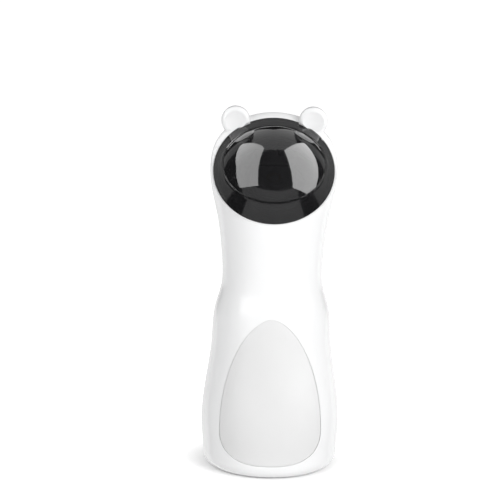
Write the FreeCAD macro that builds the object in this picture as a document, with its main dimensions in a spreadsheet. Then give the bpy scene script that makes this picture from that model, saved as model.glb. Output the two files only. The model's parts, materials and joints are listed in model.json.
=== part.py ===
import FreeCAD, Part
import math
import os

import Sketcher
from FreeCAD import Placement, Rotation, Vector

# Automatic cat laser toy: a bear-shaped stand with a smoked dome on its face.
# Millimetres, +Z up, the face looks along -Y, origin on the floor under the middle.

SIZES = (
    # the outline of the body: radius and height of each station, from the floor up
    ("floor_radius", 36.4), ("floor_height", 1.0),
    ("edge_radius", 39.3), ("edge_height", 3.2),
    ("shin_radius", 41.5), ("shin_height", 12.6),
    ("hip_radius", 42.4), ("hip_height", 25.0),
    ("thigh_radius", 41.9), ("thigh_height", 39.5),
    ("waist_radius", 40.2), ("waist_height", 53.0),
    ("belly_radius", 38.2), ("belly_height", 66.0),
    ("chest_radius", 36.8), ("chest_height", 78.0),
    ("arm_radius", 36.1), ("arm_height", 91.0),
    ("shoulder_radius", 34.3), ("shoulder_height", 102.0),
    ("nape_radius", 31.3), ("nape_height", 113.0),
    ("neck_radius", 30.6), ("neck_height", 123.0),
    ("throat_radius", 31.6), ("throat_height", 138.0),
    ("jaw_radius", 33.6), ("jaw_height", 154.0),
    ("cheek_radius", 35.9), ("cheek_height", 165.0),
    ("head_radius", 38.8), ("head_height", 183.0),
    ("crown_height", 221.0), ("crown_power", 2.4),
    ("wall", 2.4),
    # ears
    ("ear_x", 23.7), ("ear_y", 11.0), ("ear_z", 213.4), ("ear_radius", 8.9), ("ear_thickness", 8.0),
    ("ear_rim", 2.6), ("ear_dish", 1.2),
    # visor: the rim circle lies in a tilted plane, the dome's ring in another
    ("rim_radius", 36.8), ("rim_y", -10.3), ("rim_z", 186.2), ("rim_tilt", 51.0), ("rim_land", 0.6),
    ("rim_blend", 8.5), ("rim_fall", 8.0), ("dome_radius", 37.4), ("dome_y", -3.3), ("dome_z", 174.9),
    ("ring_height", 21.0), ("visor_wall", 1.8), ("collar_radius", 32.55), ("collar_rise", 7.06),
    ("collar_shift", 0.22), ("collar_turn", 10.36), ("spigot_wall", 1.4), ("spigot_depth", 2.0),
    ("gasket", 0.5),
    # the axis of the dome, and the point that the mechanism behind it is measured from
    ("dome_tilt", 38.0), ("works_y", -3.3), ("works_z", 176.3),
    # belly panel
    ("panel_half_width", 30.9), ("panel_middle", 31.5), ("panel_top", 99.3), ("panel_bottom", 9.0),
    ("panel_upper_power", 1.8), ("panel_lower_power", 2.9), ("panel_thickness", 0.9),
    ("panel_sink", 0.4), ("panel_gap", 0.12), ("peg_radius", 1.4), ("peg_length", 2.4),
    # gaps: between parts that fit, round a shaft that turns, round a pressed pin
    ("fit", 0.15), ("running", 0.05), ("press", 0.02),
    # base
    ("lip", 1.4), ("base_thickness", 2.4), ("foot_inner", 27.0), ("foot_outer", 33.0),
    ("foot_thickness", 1.6), ("foot_groove", 0.8), ("base_screw_ring", 30.8), ("base_screw_length", 8.0),
    ("base_screw_seat", 1.5), ("pillar_radius", 3.2), ("pillar_rib", 2.0), ("pillar_top", 16.0),
    # screws
    ("screw_radius", 1.0), ("screw_head", 2.1), ("head_thick", 1.4), ("screw_clear", 0.06),
    # shell screws
    ("low_screw_x", 26.0), ("low_screw_z", 76.0), ("top_screw_x", 20.5), ("top_screw_z", 134.0),
    ("screw_boss", 3.3), ("screw_seat", 13.0), ("screw_reach", 8.0),
    # battery bay
    ("cell_radius", 7.15), ("cell_length", 49.2), ("cell_gap", 0.6), ("cell_y", 21.0),
    ("cell_foot", 14.0), ("cell_play", 0.25), ("nub_radius", 2.7), ("nub_height", 1.2),
    ("tray_wall", 1.4), ("tray_depth", 11.0), ("tray_floor", 1.6), ("lug_reach", 3.35), ("lug_z", 40.0),
    ("lug_thickness", 1.6), ("lug_radius", 2.6), ("tab_half", 4.0), ("tab_thickness", 0.4),
    ("coil_radius", 3.6), ("coil_wire", 0.3), ("door_side", 1.15), ("door_bottom", 11.0),
    ("door_top", 69.0), ("door_wall", 1.8), ("door_corner", 3.0), ("door_boss", 3.2),
    ("thumb_radius", 9.0), ("thumb_depth", 1.1), ("thumb_drop", 9.5), ("tongue_half", 4.0),
    ("tongue_thickness", 2.8), ("tongue_height", 16.0), ("tongue_foot", 5.2),
    # control board, socket and switch at the back
    ("board_half_width", 12.0), ("board_bottom", 78.5), ("board_top", 103.5), ("board_y", 25.2),
    ("board_thickness", 1.2), ("board_post", 2.2), ("socket_width", 7.6), ("socket_height", 2.9),
    ("socket_depth", 5.6), ("socket_wall", 0.4), ("socket_gap", 0.5), ("socket_z", 84.5),
    ("socket_tongue", 2.2), ("switch_z", 95.5), ("switch_width", 9.0), ("switch_height", 4.4),
    ("switch_depth", 3.6), ("slot_height", 3.0), ("slot_gap", 0.4), ("knob_width", 3.2),
    ("knob_travel", 2.0), ("knob_half", 0.8), ("lamp_radius", 1.2), ("lamp_x", 8.0),
    # mechanism, measured along and around the dome's axis
    ("chassis_radius", 30.3), ("chassis_thickness", 2.0), ("plate_radius", 28.2),
    ("plate_thickness", 1.6), ("plate_drop", 12.7), ("post_ring", 25.6), ("post_radius", 2.4),
    ("seat_radius", 3.2), ("seat_depth", 9.0), ("seat_rib", 3.0), ("tooth_module", 0.6),
    ("turret_teeth", 50), ("pinion_teeth", 12), ("drive_teeth", 10), ("wheel_room", 0.4),
    ("centre_play", 0.05), ("backlash", 0.12), ("gear_thick", 2.8), ("turret_gear_z", -7.2),
    ("wheel_z", -10.8), ("idler_angle", -60.0), ("motor_angle", 180.0), ("barrel_radius", 4.5),
    ("sleeve_radius", 6.5), ("hub_radius", 9.5), ("deck_radius", 14.4), ("deck_z", 3.0),
    ("deck_thickness", 2.0), ("sleeve_top", 7.2), ("motor_radius", 7.7), ("motor_length", 20.0),
    ("motor_edge", 0.6), ("motor_nose", 3.0), ("nose_height", 1.2), ("motor_screw_x", 5.2),
    ("shaft_radius", 0.75), ("shaft_sunk", 7.5), ("pin_radius", 1.0), ("clip_width", 1.7),
    ("clip_thickness", 1.0), ("flange_radius", 8.4), ("flange_thickness", 1.6), ("lens_radius", 2.95),
    ("driver_half", 3.0), ("driver_length", 7.0), ("pivot_y", 2.0), ("pivot_z", 17.5),
    ("pivot_radius", 1.0), ("mirror_tilt", 40.0), ("mirror_half_width", 8.0), ("mirror_half_height", 9.6),
    ("mirror_thickness", 1.1), ("frame_thickness", 2.6), ("frame_rail", 1.2), ("cheek_x", 11.5),
    ("cheek_thickness", 2.0), ("cheek_half", 3.0), ("cam_inner", 18.6), ("cam_outer", 22.4),
    ("cam_floor", 2.0), ("cam_lift", 2.2), ("cam_round", 5.0), ("roller_radius", 2.0),
    ("roller_gap", 0.3), ("roller_width", 3.2), ("stub_radius", 0.8), ("tail_y", 16.7),
    ("tail_half_width", 1.6), ("tail_z", 8.8), ("tail_thickness", 1.8), ("nod_coil", 1.55),
    ("nod_wire", 0.2), ("baffle_inner", 26.0),
)


class Size:
    """A number together with the sheet formula that gives it."""

    def __init__(self, number, formula):
        self.number = float(number)
        self.formula = formula

    def __add__(self, other):
        other = size(other)
        return Size(self.number + other.number, f"({self.formula} + {other.formula})")

    def __sub__(self, other):
        other = size(other)
        return Size(self.number - other.number, f"({self.formula} - {other.formula})")

    def __mul__(self, other):
        other = size(other)
        return Size(self.number * other.number, f"({self.formula} * {other.formula})")

    def __truediv__(self, other):
        other = size(other)
        return Size(self.number / other.number, f"({self.formula} / {other.formula})")

    def __radd__(self, other):
        return size(other) + self

    def __rsub__(self, other):
        return size(other) - self

    def __rmul__(self, other):
        return size(other) * self

    def __neg__(self):
        return Size(-self.number, f"(-1 * {self.formula})")


class Sheet:
    """The driving dimensions, each as an attribute."""


def size(value):
    return value if isinstance(value, Size) else Size(value, repr(float(value)))


doc = FreeCAD.newDocument("laser_toy")
cells = doc.addObject("Spreadsheet::Sheet", "dims")
for row, (name, value) in enumerate(SIZES, 1):
    cells.set(f"A{row}", name)
    cells.set(f"B{row}", str(value))
    cells.setAlias(f"B{row}", name)
doc.recompute()
d = Sheet()
for name, value in SIZES:
    setattr(d, name, Size(cells.get(name), f"dims.{name}"))

sub_parts = []
TURN = {"x": Rotation(Vector(0, 1, 0), 90), "y": Rotation(Vector(1, 0, 0), -90), "z": Rotation()}
TURN["-y"] = Rotation(Vector(1, 0, 0), 90)
TURN["-z"] = Rotation(Vector(1, 0, 0), 180)
BEYOND = 60.0  # the length of a tool that passes right through a wall


# ---------------------------------------------------------------- building blocks

def place(thing, spot, rotation=None):
    """Put a feature at a spot whose three sizes stay bound to the sheet."""
    spot = [size(value) for value in spot]
    thing.Placement = Placement(Vector(*[value.number for value in spot]), rotation or Rotation())
    for axis, value in zip("xyz", spot):
        thing.setExpression(f".Placement.Base.{axis}", value.formula)
    return thing


def cylinder(radius, length, spot=(0, 0, 0), along="z"):
    thing = doc.addObject("Part::Cylinder", "Cylinder")
    thing.setExpression("Radius", size(radius).formula)
    thing.setExpression("Height", size(length).formula)
    return place(thing, spot, TURN[along])


def block(low, high):
    """A box between two corners."""
    thing = doc.addObject("Part::Box", "Box")
    for side, near, far in zip(("Length", "Width", "Height"), low, high):
        thing.setExpression(side, (size(far) - near).formula)
    return place(thing, low)


def joined(*things):
    thing = doc.addObject("Part::MultiFuse", "Fusion")
    thing.Shapes = list(things)
    thing.Refine = False
    return thing


def group(*things):
    """Separate solids held as one feature, which can then be moved together."""
    thing = doc.addObject("Part::Compound", "Group")
    thing.Links = list(things)
    return thing


def minus(base, *tools):
    thing = doc.addObject("Part::Cut", "Cut")
    thing.Base = base
    thing.Tool = tools[0] if len(tools) == 1 else joined(*tools)
    thing.Refine = False
    return thing


def common(first, second):
    thing = doc.addObject("Part::Common", "Common")
    thing.Base = first
    thing.Tool = second
    return thing


def origin_plane(body, role):
    return next(plane for plane in body.Origin.OriginFeatures if plane.Role == role)


def sketch_on(body, role, corners):
    """A closed outline whose every corner is held by two sheet formulas."""
    sketch = body.newObject("Sketcher::SketchObject", "Outline")
    sketch.AttachmentSupport = (origin_plane(body, role), "")
    sketch.MapMode = "FlatFace"
    corners = [(size(across), size(up)) for across, up in corners]
    spots = [Vector(across.number, up.number, 0) for across, up in corners]
    for index, spot in enumerate(spots):
        sketch.addGeometry(Part.LineSegment(spot, spots[(index + 1) % len(spots)]), False)
    for index in range(len(spots)):
        sketch.addConstraint(Sketcher.Constraint("Coincident", index, 2, (index + 1) % len(spots), 1))
    for index, corner in enumerate(corners):
        for kind, value in zip(("DistanceX", "DistanceY"), corner):
            number = sketch.addConstraint(Sketcher.Constraint(kind, -1, 1, index, 1, value.number))
            sketch.setExpression(f"Constraints[{number}]", value.formula)
    return sketch


def turned(*corners):
    """A body turned about Z from (radius, height) corners."""
    body = doc.addObject("PartDesign::Body", "Turned")
    sketch = sketch_on(body, "XZ_Plane", corners)
    feature = body.newObject("PartDesign::Revolution", "Revolution")
    feature.Profile = sketch
    feature.ReferenceAxis = (sketch, ["V_Axis"])
    feature.Angle = 360
    return body


def ring(inner, outer, low, high):
    return turned((inner, low), (outer, low), (outer, high), (inner, high))


def shaped(shape):
    """A feature that holds a free-form shape."""
    thing = doc.addObject("Part::Feature", "Form")
    thing.Shape = shape
    return thing


def sub_part(label, thing):
    thing.Label = label
    sub_parts.append(thing)
    return thing


def tilted(thing, tilt, spot):
    """Stand a feature, built along Z, on an axis that leans towards the face."""
    place(thing, spot, Rotation(Vector(1, 0, 0), tilt.number))
    thing.setExpression(".Placement.Rotation.Angle", tilt.formula)
    return thing


def on_axis(thing):
    return tilted(thing, d.dome_tilt, (0, d.works_y, d.works_z))


def on_rim(thing):
    return tilted(thing, d.rim_tilt, (0, d.rim_y, d.rim_z))


def screw(length):
    """A screw with its tip at Z 0, pointing down, and a slotless domed head on top."""
    radius = d.screw_radius
    head = d.screw_head
    return turned(
        (0, 0), (radius * 0.4, 0), (radius, radius * 0.8), (radius, length),
        (head, length), (head, length + d.head_thick * 0.6),
        (head * 0.7, length + d.head_thick), (0, length + d.head_thick),
    )


# ---------------------------------------------------------------- free forms

STATIONS = ("floor", "edge", "shin", "hip", "thigh", "waist", "belly", "chest", "arm", "shoulder",
            "nape", "neck", "throat", "jaw", "cheek", "head")


def body_form(inset, bottom=None):
    """The solid inside the body's outline, moved inwards by inset."""
    spots = []
    for name in STATIONS:
        radius = getattr(d, f"{name}_radius").number - inset
        spots.append(Vector(radius, 0, getattr(d, f"{name}_height").number))
    top = d.crown_height.number - inset
    rise = top - d.head_height.number
    widest = d.head_radius.number - inset
    for share in (0.94, 0.82, 0.62, 0.35):
        lift = (1 - share ** d.crown_power.number) ** (1 / d.crown_power.number)
        spots.append(Vector(widest * share, 0, d.head_height.number + rise * lift))
    if bottom is not None:
        spots[0] = Vector(spots[0].x, 0, bottom)
    pole = Vector(0, 0, top)
    across = [Vector(-spot.x, 0, spot.z) for spot in reversed(spots[-3:])]
    curve = Part.BSplineCurve()
    curve.interpolate(Points=spots + [pole] + across)
    half = curve.toShape(curve.FirstParameter, curve.parameter(pole))
    low = Vector(0, 0, spots[0].z)
    edges = [half, Part.makeLine(half.Vertexes[-1].Point, low), Part.makeLine(low, half.Vertexes[0].Point)]
    form = Part.Face(Part.Wire(edges)).revolve(Vector(), Vector(0, 0, 1), 360)
    form.rotate(Vector(), Vector(0, 0, 1), 90)
    return form


def leaning(tilt, y, z):
    return Placement(Vector(0, y.number, z.number), Rotation(Vector(1, 0, 0), tilt.number))


RIM = leaning(d.rim_tilt, d.rim_y, d.rim_z)
DOME = leaning(d.dome_tilt, d.dome_y, d.dome_z)
WORKS = leaning(d.dome_tilt, d.works_y, d.works_z)


def moved(shape, placement):
    shape.Placement = placement.multiply(shape.Placement)
    return shape


def face_form():
    """A bullet about the visor's axis: a flat land round the rim that falls away backwards."""
    start = d.rim_radius.number + d.rim_land.number
    far = start + d.rim_blend.number
    fall = d.rim_fall.number
    middle = Vector(start + d.rim_blend.number * 0.62, 0, -fall * 0.36)
    arc = Part.Arc(Vector(start, 0, 0), middle, Vector(far, 0, -fall)).toShape()
    spots = [Vector(far, 0, -fall), Vector(far + 220, 0, -60), Vector(far + 220, 0, -400),
             Vector(0, 0, -400), Vector(0, 0, 0), Vector(start, 0, 0)]
    lines = [Part.makeLine(first, second) for first, second in zip(spots, spots[1:])]
    form = Part.Face(Part.Wire([arc] + lines)).revolve(Vector(), Vector(0, 0, 1), 360)
    form.rotate(Vector(), Vector(0, 0, 1), 60)
    return moved(form, RIM)


def ear(side):
    """A thick disc with a rounded rim and a dished front."""
    radius = d.ear_radius.number
    half = d.ear_thickness.number / 2
    rim = d.ear_rim.number
    disc = Part.makeCylinder(radius, 2 * half, Vector(0, 0, -half))
    circles = [edge for edge in disc.Edges if edge.isClosed() and len(edge.Vertexes) == 1]
    disc = disc.makeFillet(rim, [edge for edge in circles if abs(edge.Curve.Radius - radius) < 1e-6])
    dish = d.ear_dish.number
    mouth = radius - rim
    ball = (mouth ** 2 + dish ** 2) / (2 * dish)
    disc = disc.cut(Part.makeSphere(ball, Vector(0, 0, half + ball - dish)))
    disc.Placement = Placement(Vector(side * d.ear_x.number, d.ear_y.number, d.ear_z.number),
                               Rotation(Vector(1, 0, 0), 90))
    return disc


def slice_of(shape, axis, low, high):
    """The part of a shape between two planes across X, Y or Z."""
    corner = {"x": Vector(low, -200, -50), "y": Vector(-200, low, -50), "z": Vector(-200, -200, low)}[axis]
    sides = [400, 400, 400]
    sides["xyz".index(axis)] = high - low
    return shape.common(Part.makeBox(*sides, corner))


def rod_y(radius, x, y, z, length=BEYOND):
    """A plain cylinder along +Y that starts at the spot."""
    spot = Vector(*[size(value).number for value in (x, y, z)])
    return Part.makeCylinder(size(radius).number, size(length).number, spot, Vector(0, 1, 0))


def rod_z(radius, x, y, z, length):
    """A plain cylinder along +Z that starts at the spot."""
    spot = Vector(*[size(value).number for value in (x, y, z)])
    return Part.makeCylinder(size(radius).number, size(length).number, spot)


def box_between(low, high):
    """A plain box between two corners."""
    low = Vector(*[size(value).number for value in low])
    sides = Vector(*[size(value).number for value in high]) - low
    return Part.makeBox(*sides, low)


def egg_outline(grow):
    """The belly panel's outline in X and Z: two superellipse halves joined at the widest height."""
    wide = d.panel_half_width.number + grow
    middle = d.panel_middle.number
    above, below = d.panel_top.number - middle + grow, middle - d.panel_bottom.number + grow
    upper, lower = d.panel_upper_power.number, d.panel_lower_power.number
    spots = []
    for share in (0.0, 0.16, 0.34, 0.52, 0.70, 0.85, 0.955, 1.0):
        rise = above * (1 - share ** upper) ** (1 / upper)
        spots.append(Vector(wide * share, 0, middle + rise))
    for share in (0.965, 0.86, 0.68, 0.46, 0.22, 0.0):
        drop = below * (1 - share ** lower) ** (1 / lower)
        spots.append(Vector(wide * share, 0, middle - drop))
    mirrored = [Vector(-spot.x, 0, spot.z) for spot in reversed(spots[1:-1])]
    curve = Part.BSplineCurve()
    curve.interpolate(Points=spots + mirrored, PeriodicFlag=True)
    return Part.Wire([curve.toShape()])


def egg_prism(grow):
    prism = Part.Face(egg_outline(grow)).extrude(Vector(0, -BEYOND, 0))
    prism.translate(Vector(0, -5, 0))
    return prism


def gear(teeth, thickness, low, bore, turn=0.0):
    """A spur gear whose straight flanks run between the involute's ends."""
    module = d.tooth_module.number
    pitch = module * teeth / 2
    base = pitch * math.cos(math.radians(20))
    tip, root = pitch + module, pitch - 1.25 * module
    involute = math.tan(math.radians(20)) - math.radians(20)
    half = math.pi / 2 / teeth - d.backlash.number / 2 / pitch

    def flank(radius):
        angle = math.acos(base / radius) if radius > base else 0.0
        return half + involute - (math.tan(angle) - angle)

    start = max(base, root)
    outline = [(start, -flank(start)), (tip, -flank(tip)), (tip, flank(tip)), (start, flank(start))]
    if root < start:
        outline = [(root, -flank(start))] + outline + [(root, flank(start))]
    spots = []
    for tooth in range(teeth):
        middle = math.radians(turn) + tooth * 2 * math.pi / teeth
        for radius, angle in outline:
            spots.append(Vector(radius * math.cos(middle + angle), radius * math.sin(middle + angle), 0))
    spots.append(spots[0])
    blank = Part.Face(Part.makePolygon(spots)).extrude(Vector(0, 0, thickness))
    blank.translate(Vector(0, 0, low))
    return blank.cut(Part.makeCylinder(bore, thickness + 2, Vector(0, 0, low - 1)))


def coil(radius, wire, turns, pitch, steps=12, sides=8):
    """A wire wound along Z: straight runs between the points of a helix, mitred where they meet."""
    count = int(turns * steps)
    spots = []
    for index in range(count + 1):
        angle = 2 * math.pi * index / steps
        spots.append(Vector(radius * math.cos(angle), radius * math.sin(angle), pitch * index / steps))
    runs = [(second - first).normalize() for first, second in zip(spots, spots[1:])]
    across = runs[0].cross(Vector(0, 0, 1)).normalize()
    upwards = across.cross(runs[0])
    section = []
    for index in range(sides):
        angle = 2 * math.pi * index / sides
        section.append(spots[0] + (across * math.cos(angle) + upwards * math.sin(angle)) * wire)
    sections = [section]
    for index, run in enumerate(runs):
        mitre = run if index == len(runs) - 1 else (run + runs[index + 1]).normalize()
        section = [spot + run * ((spots[index + 1] - spot).dot(mitre) / run.dot(mitre)) for spot in section]
        sections.append(section)
    faces = [Part.Face(Part.makePolygon(end + end[:1])) for end in (sections[0], sections[-1])]
    for first, second in zip(sections, sections[1:]):
        for index in range(sides):
            after = (index + 1) % sides
            corners = [first[index], first[after], second[after], second[index], first[index]]
            faces.append(Part.Face(Part.makePolygon(corners)))
    shell = Part.makeShell(faces)
    shell.sewShape()
    wound = Part.makeSolid(shell)
    if wound.Volume < 0:
        wound.reverse()
    return wound


# ---------------------------------------------------------------- shells

outer_form = body_form(0).common(face_form())
for side in (-1, 1):
    outer_form = outer_form.fuse(ear(side))
keep_out = Part.makeCylinder(d.rim_radius.number + d.fit.number, 40)
outer_form = outer_form.cut(moved(keep_out, RIM))
wall = d.wall.number
base_top = d.floor_height + d.base_thickness
base_mouth = d.floor_radius - d.lip
mouth = rod_z(base_mouth, 0, 0, -5, base_top + 5)
cavity = slice_of(body_form(wall), "z", base_top.number - 0.01, 400).fuse(mouth)
behind_bezel = moved(Part.makeCylinder(300, 400, Vector(0, 0, -400 - wall)), RIM)
cavity = cavity.common(behind_bezel)
opening_radius = d.rim_radius - d.spigot_wall
opening = moved(Part.makeCylinder(opening_radius.number, wall + 2, Vector(0, 0, -wall - 1)), RIM)
hollow_form = outer_form.cut(cavity).cut(opening)

# the holes of every screw: for its thread, for its free shank, for its head
screw_hole = d.screw_radius + d.screw_clear
screw_pass = d.screw_radius + d.fit
head_pass = d.screw_head + d.fit

front_base_turns = (-135, -45)
rear_base_turns = (10, 170)
base_screw_spots = []
for turn in front_base_turns + rear_base_turns:
    angle = math.radians(turn)
    base_screw_spots.append((d.base_screw_ring * math.cos(angle), d.base_screw_ring * math.sin(angle)))


def add_pillars(shell, turns):
    """Fuse one shell's base screw pillars, tied to the wall by ribs, which stand on the base plate."""
    ring_x = d.base_screw_ring.number
    half_rib = d.pillar_rib / 2
    for turn in turns:
        pillar = rod_z(d.pillar_radius, ring_x, 0, base_top, d.pillar_top - base_top)
        rib = box_between((ring_x, -half_rib, base_top), (BEYOND, half_rib, d.pillar_top))
        hole = rod_z(screw_hole, ring_x, 0, 0, d.pillar_top)
        for tool in (pillar, rib, hole):
            tool.rotate(Vector(), Vector(0, 0, 1), turn)
        shell = shell.fuse(pillar.fuse(rib.common(outer_form))).cut(hole)
    return shell


shell_screw_spots = []
for x, z in ((d.low_screw_x, d.low_screw_z), (d.top_screw_x, d.top_screw_z)):
    shell_screw_spots += [(-x, z), (x, z)]


def add_bosses(shell, front):
    """Fuse the bosses that the four long shell screws pass through."""
    for x, z in shell_screw_spots:
        boss = rod_y(d.screw_boss, x, -BEYOND if front else 0, z)
        shell = shell.fuse(boss.common(outer_form))
    for x, z in shell_screw_spots:
        if front:
            shell = shell.cut(rod_y(screw_hole, x, -d.screw_reach - 1, z, d.screw_reach + 1))
        else:
            shell = shell.cut(rod_y(screw_hole, x, -1, z))
            shell = shell.cut(rod_y(head_pass, x, d.screw_seat, z))
    return shell


# the mechanism chassis stands on three seats: x and y of each, along the dome's axis
chassis_spots = ((27.0, -9.0), (-27.0, -9.0), (-16.5, -23.0))


def add_seats(shell):
    """Fuse the three ribs that carry the mechanism chassis."""
    top = -d.chassis_thickness
    low = top - d.seat_depth
    for x, y in chassis_spots:
        reach = math.hypot(x, y)
        arm = box_between((reach, -d.seat_rib / 2, low), (BEYOND, d.seat_rib / 2, top))
        arm.rotate(Vector(), Vector(0, 0, 1), math.degrees(math.atan2(y, x)))
        seat = rod_z(d.seat_radius, x, y, low, d.seat_depth).fuse(arm)
        shell = shell.fuse(moved(seat, WORKS).common(outer_form))
    for x, y in chassis_spots:
        shell = shell.cut(moved(rod_z(screw_hole, x, y, low + 1, d.seat_depth), WORKS))
    return shell


front = slice_of(hollow_form, "y", -80, 0)
front = add_seats(add_bosses(add_pillars(front, front_base_turns), True))
panel_depth = d.panel_sink + d.panel_thickness
sunk_form = body_form(d.panel_sink.number)
panel_back = body_form(panel_depth.number, bottom=-5)
recess_floor = body_form((panel_depth + d.panel_gap).number, bottom=-5)
front = front.cut(egg_prism(d.fit.number).cut(recess_floor))
peg_spots = ((0.0, 84.0), (-19.0, 45.0), (19.0, 45.0), (0.0, 20.0))
for x, z in peg_spots:
    front = front.cut(rod_y(d.peg_radius + d.fit, x, -BEYOND, z))
sub_part("front_shell", shaped(front))

panel = egg_prism(0).common(sunk_form).cut(panel_back)
peg_root = body_form((d.panel_sink + d.panel_thickness / 2).number)
peg_end = body_form((panel_depth + d.peg_length).number, bottom=-5)
for x, z in peg_spots:
    panel = panel.fuse(rod_y(d.peg_radius, x, -BEYOND, z).common(peg_root).cut(peg_end))
sub_part("belly_panel", shaped(panel))

# the bay behind the door: the cells stand side by side in the tray
cell_pitch = d.cell_radius * 2 + d.cell_gap
cell_xs = [cell_pitch * column for column in (-1, 0, 1)]
tray_half = cell_pitch + d.cell_radius + d.tray_wall
tray_front = d.cell_y - d.cell_radius - d.tray_wall
tray_back = tray_front + d.tray_depth
lug_x = tray_half + d.lug_reach
door_half = cell_pitch + d.cell_radius + d.door_side


def door_prism(grow):
    """The door's window, square across and rounded at its corners, cut along Y."""
    half = door_half + grow
    box = box_between((-half, 1, d.door_bottom - grow), (half, 1 + BEYOND, d.door_top + grow))
    edges = [edge for edge in box.Edges if abs(edge.tangentAt(edge.FirstParameter).y) > 0.9]
    return box.makeFillet(d.door_corner.number, edges)


rear = slice_of(hollow_form, "y", 0, 80)
rear = add_bosses(add_pillars(rear, rear_base_turns), False)
rear = rear.cut(door_prism(d.fit))
board_back = d.board_y + d.board_thickness
socket_top = d.socket_z + d.socket_height
mouth_half = d.socket_width / 2 + d.socket_gap
socket_mouth = box_between((-mouth_half, board_back, d.socket_z - d.socket_gap),
                           (mouth_half, BEYOND, socket_top + d.socket_gap))
knob_z = d.switch_z + d.switch_height / 2
knob_side = d.knob_width / 2
slot_half = knob_side + d.knob_travel + d.slot_gap
knob_slot = box_between((-slot_half, board_back, knob_z - d.slot_height / 2),
                        (slot_half, BEYOND, knob_z + d.slot_height / 2))
lamp_z = d.socket_z + d.socket_height / 2
rear = rear.cut(socket_mouth).cut(knob_slot)
rear = rear.cut(rod_y(d.lamp_radius + d.fit, d.lamp_x, board_back, lamp_z))
board_spots = ((-9.8, 101.2), (9.8, 90.0))
for x, z in board_spots:
    rear = rear.fuse(rod_y(d.board_post, x, board_back, z).common(outer_form))
for side in (-1, 1):
    rear = rear.fuse(rod_y(d.lug_radius, lug_x * side, tray_back, d.lug_z).common(outer_form))
for x, z in board_spots:
    rear = rear.cut(rod_y(screw_hole, x, board_back - 1, z, 5))
for side in (-1, 1):
    rear = rear.cut(rod_y(screw_hole, lug_x * side, tray_back - 1, d.lug_z, 5.5))

# the door's screw: its head sits in the door's boss, its thread in a tongue of the shell
screw_z = d.door_bottom + 5.5
door_seat = d.shin_radius - d.door_wall - 0.3
boss_low = door_seat - 1.6
tongue_back = boss_low - 0.3
tongue_front = tongue_back - d.tongue_thickness
tongue_low = screw_z - 11.5
tongue = box_between((-d.tongue_half, tongue_front, tongue_low),
                     (d.tongue_half, tongue_back, tongue_low + d.tongue_height))
tongue_foot = box_between((-d.tongue_half, tongue_front, tongue_low),
                          (d.tongue_half, BEYOND, tongue_low + d.tongue_foot))
tongue = tongue.fuse(tongue_foot.common(outer_form))
rear = rear.fuse(tongue.cut(rod_y(screw_hole, 0, tongue_front - 5, screw_z, 10)))
sub_part("rear_shell", shaped(rear))

door = door_prism(0).common(body_form(0)).cut(body_form(d.door_wall.number, bottom=-5))
thumb_y = (d.waist_radius + d.belly_radius) / 2 + d.thumb_radius - d.thumb_depth
thumb_spot = Vector(0, thumb_y.number, (d.door_top - d.thumb_drop).number)
door = door.cut(Part.makeSphere(d.thumb_radius.number, thumb_spot))
door = door.fuse(rod_y(d.door_boss, 0, boss_low, screw_z, 6).common(body_form(0)))
door = door.cut(rod_y(screw_pass, 0, 30, screw_z))
door = door.cut(rod_y(head_pass, 0, door_seat, screw_z))
sub_part("battery_door", shaped(door))
door_screw_length = 7.5
door_screw = screw(door_screw_length)
sub_part("door_screw", place(door_screw, (0, door_seat - door_screw_length, screw_z), TURN["y"]))

# ---------------------------------------------------------------- visor


def circle_wire(radius, placement):
    circle = Part.makeCircle(radius)
    circle.Placement = placement
    return Part.Wire([circle])


def visor_form(inset, rim_inset, drop):
    """Collar lofted from the rim through its swell to the ring, with the ball cap on it."""
    leans = (d.rim_tilt.number, d.rim_tilt.number - d.collar_turn.number, d.dome_tilt.number)
    turns = [Rotation(Vector(1, 0, 0), lean) for lean in leans]
    rim_spot = RIM.multVec(Vector(0, 0, d.gasket.number - drop))
    swell_spot = RIM.multVec(Vector(0, d.collar_shift.number, d.collar_rise.number - inset * 0.7))
    ring_spot = DOME.multVec(Vector(0, 0, d.ring_height.number - inset * 0.8))
    ring_radius = math.sqrt(d.dome_radius.number ** 2 - d.ring_height.number ** 2)
    collar = Part.makeLoft([
        circle_wire(d.rim_radius.number - rim_inset, Placement(rim_spot, turns[0])),
        circle_wire(d.collar_radius.number - inset, Placement(swell_spot, turns[1])),
        circle_wire(ring_radius - inset, Placement(ring_spot, turns[2])),
    ], True, True)
    ball = Part.makeSphere(d.dome_radius.number - inset)
    low = d.ring_height.number - inset * 0.8
    cap = ball.common(Part.makeCylinder(60, 60, Vector(0, 0, low)))
    return collar.fuse(moved(cap, DOME))


spigot_outer = opening_radius - d.fit
spigot_inset = d.spigot_wall.number + d.fit.number + 1.2
spigot = moved(rod_z(spigot_outer, 0, 0, -d.spigot_depth, d.spigot_depth + d.gasket), RIM)
visor = visor_form(0, 0, 0).fuse(spigot).cut(visor_form(d.visor_wall.number, spigot_inset, 3.0))
sub_part("visor_dome", shaped(visor))

gasket = ring(opening_radius + d.fit * 0.2, d.rim_radius - d.fit, 0, d.gasket)
sub_part("visor_gasket", on_rim(gasket))
baffle = ring(d.baffle_inner, spigot_outer - d.spigot_wall - 0.4, -d.wall - 2.2, -d.wall - 1.2)
sub_part("dome_baffle", on_rim(baffle))

# ---------------------------------------------------------------- base

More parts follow.
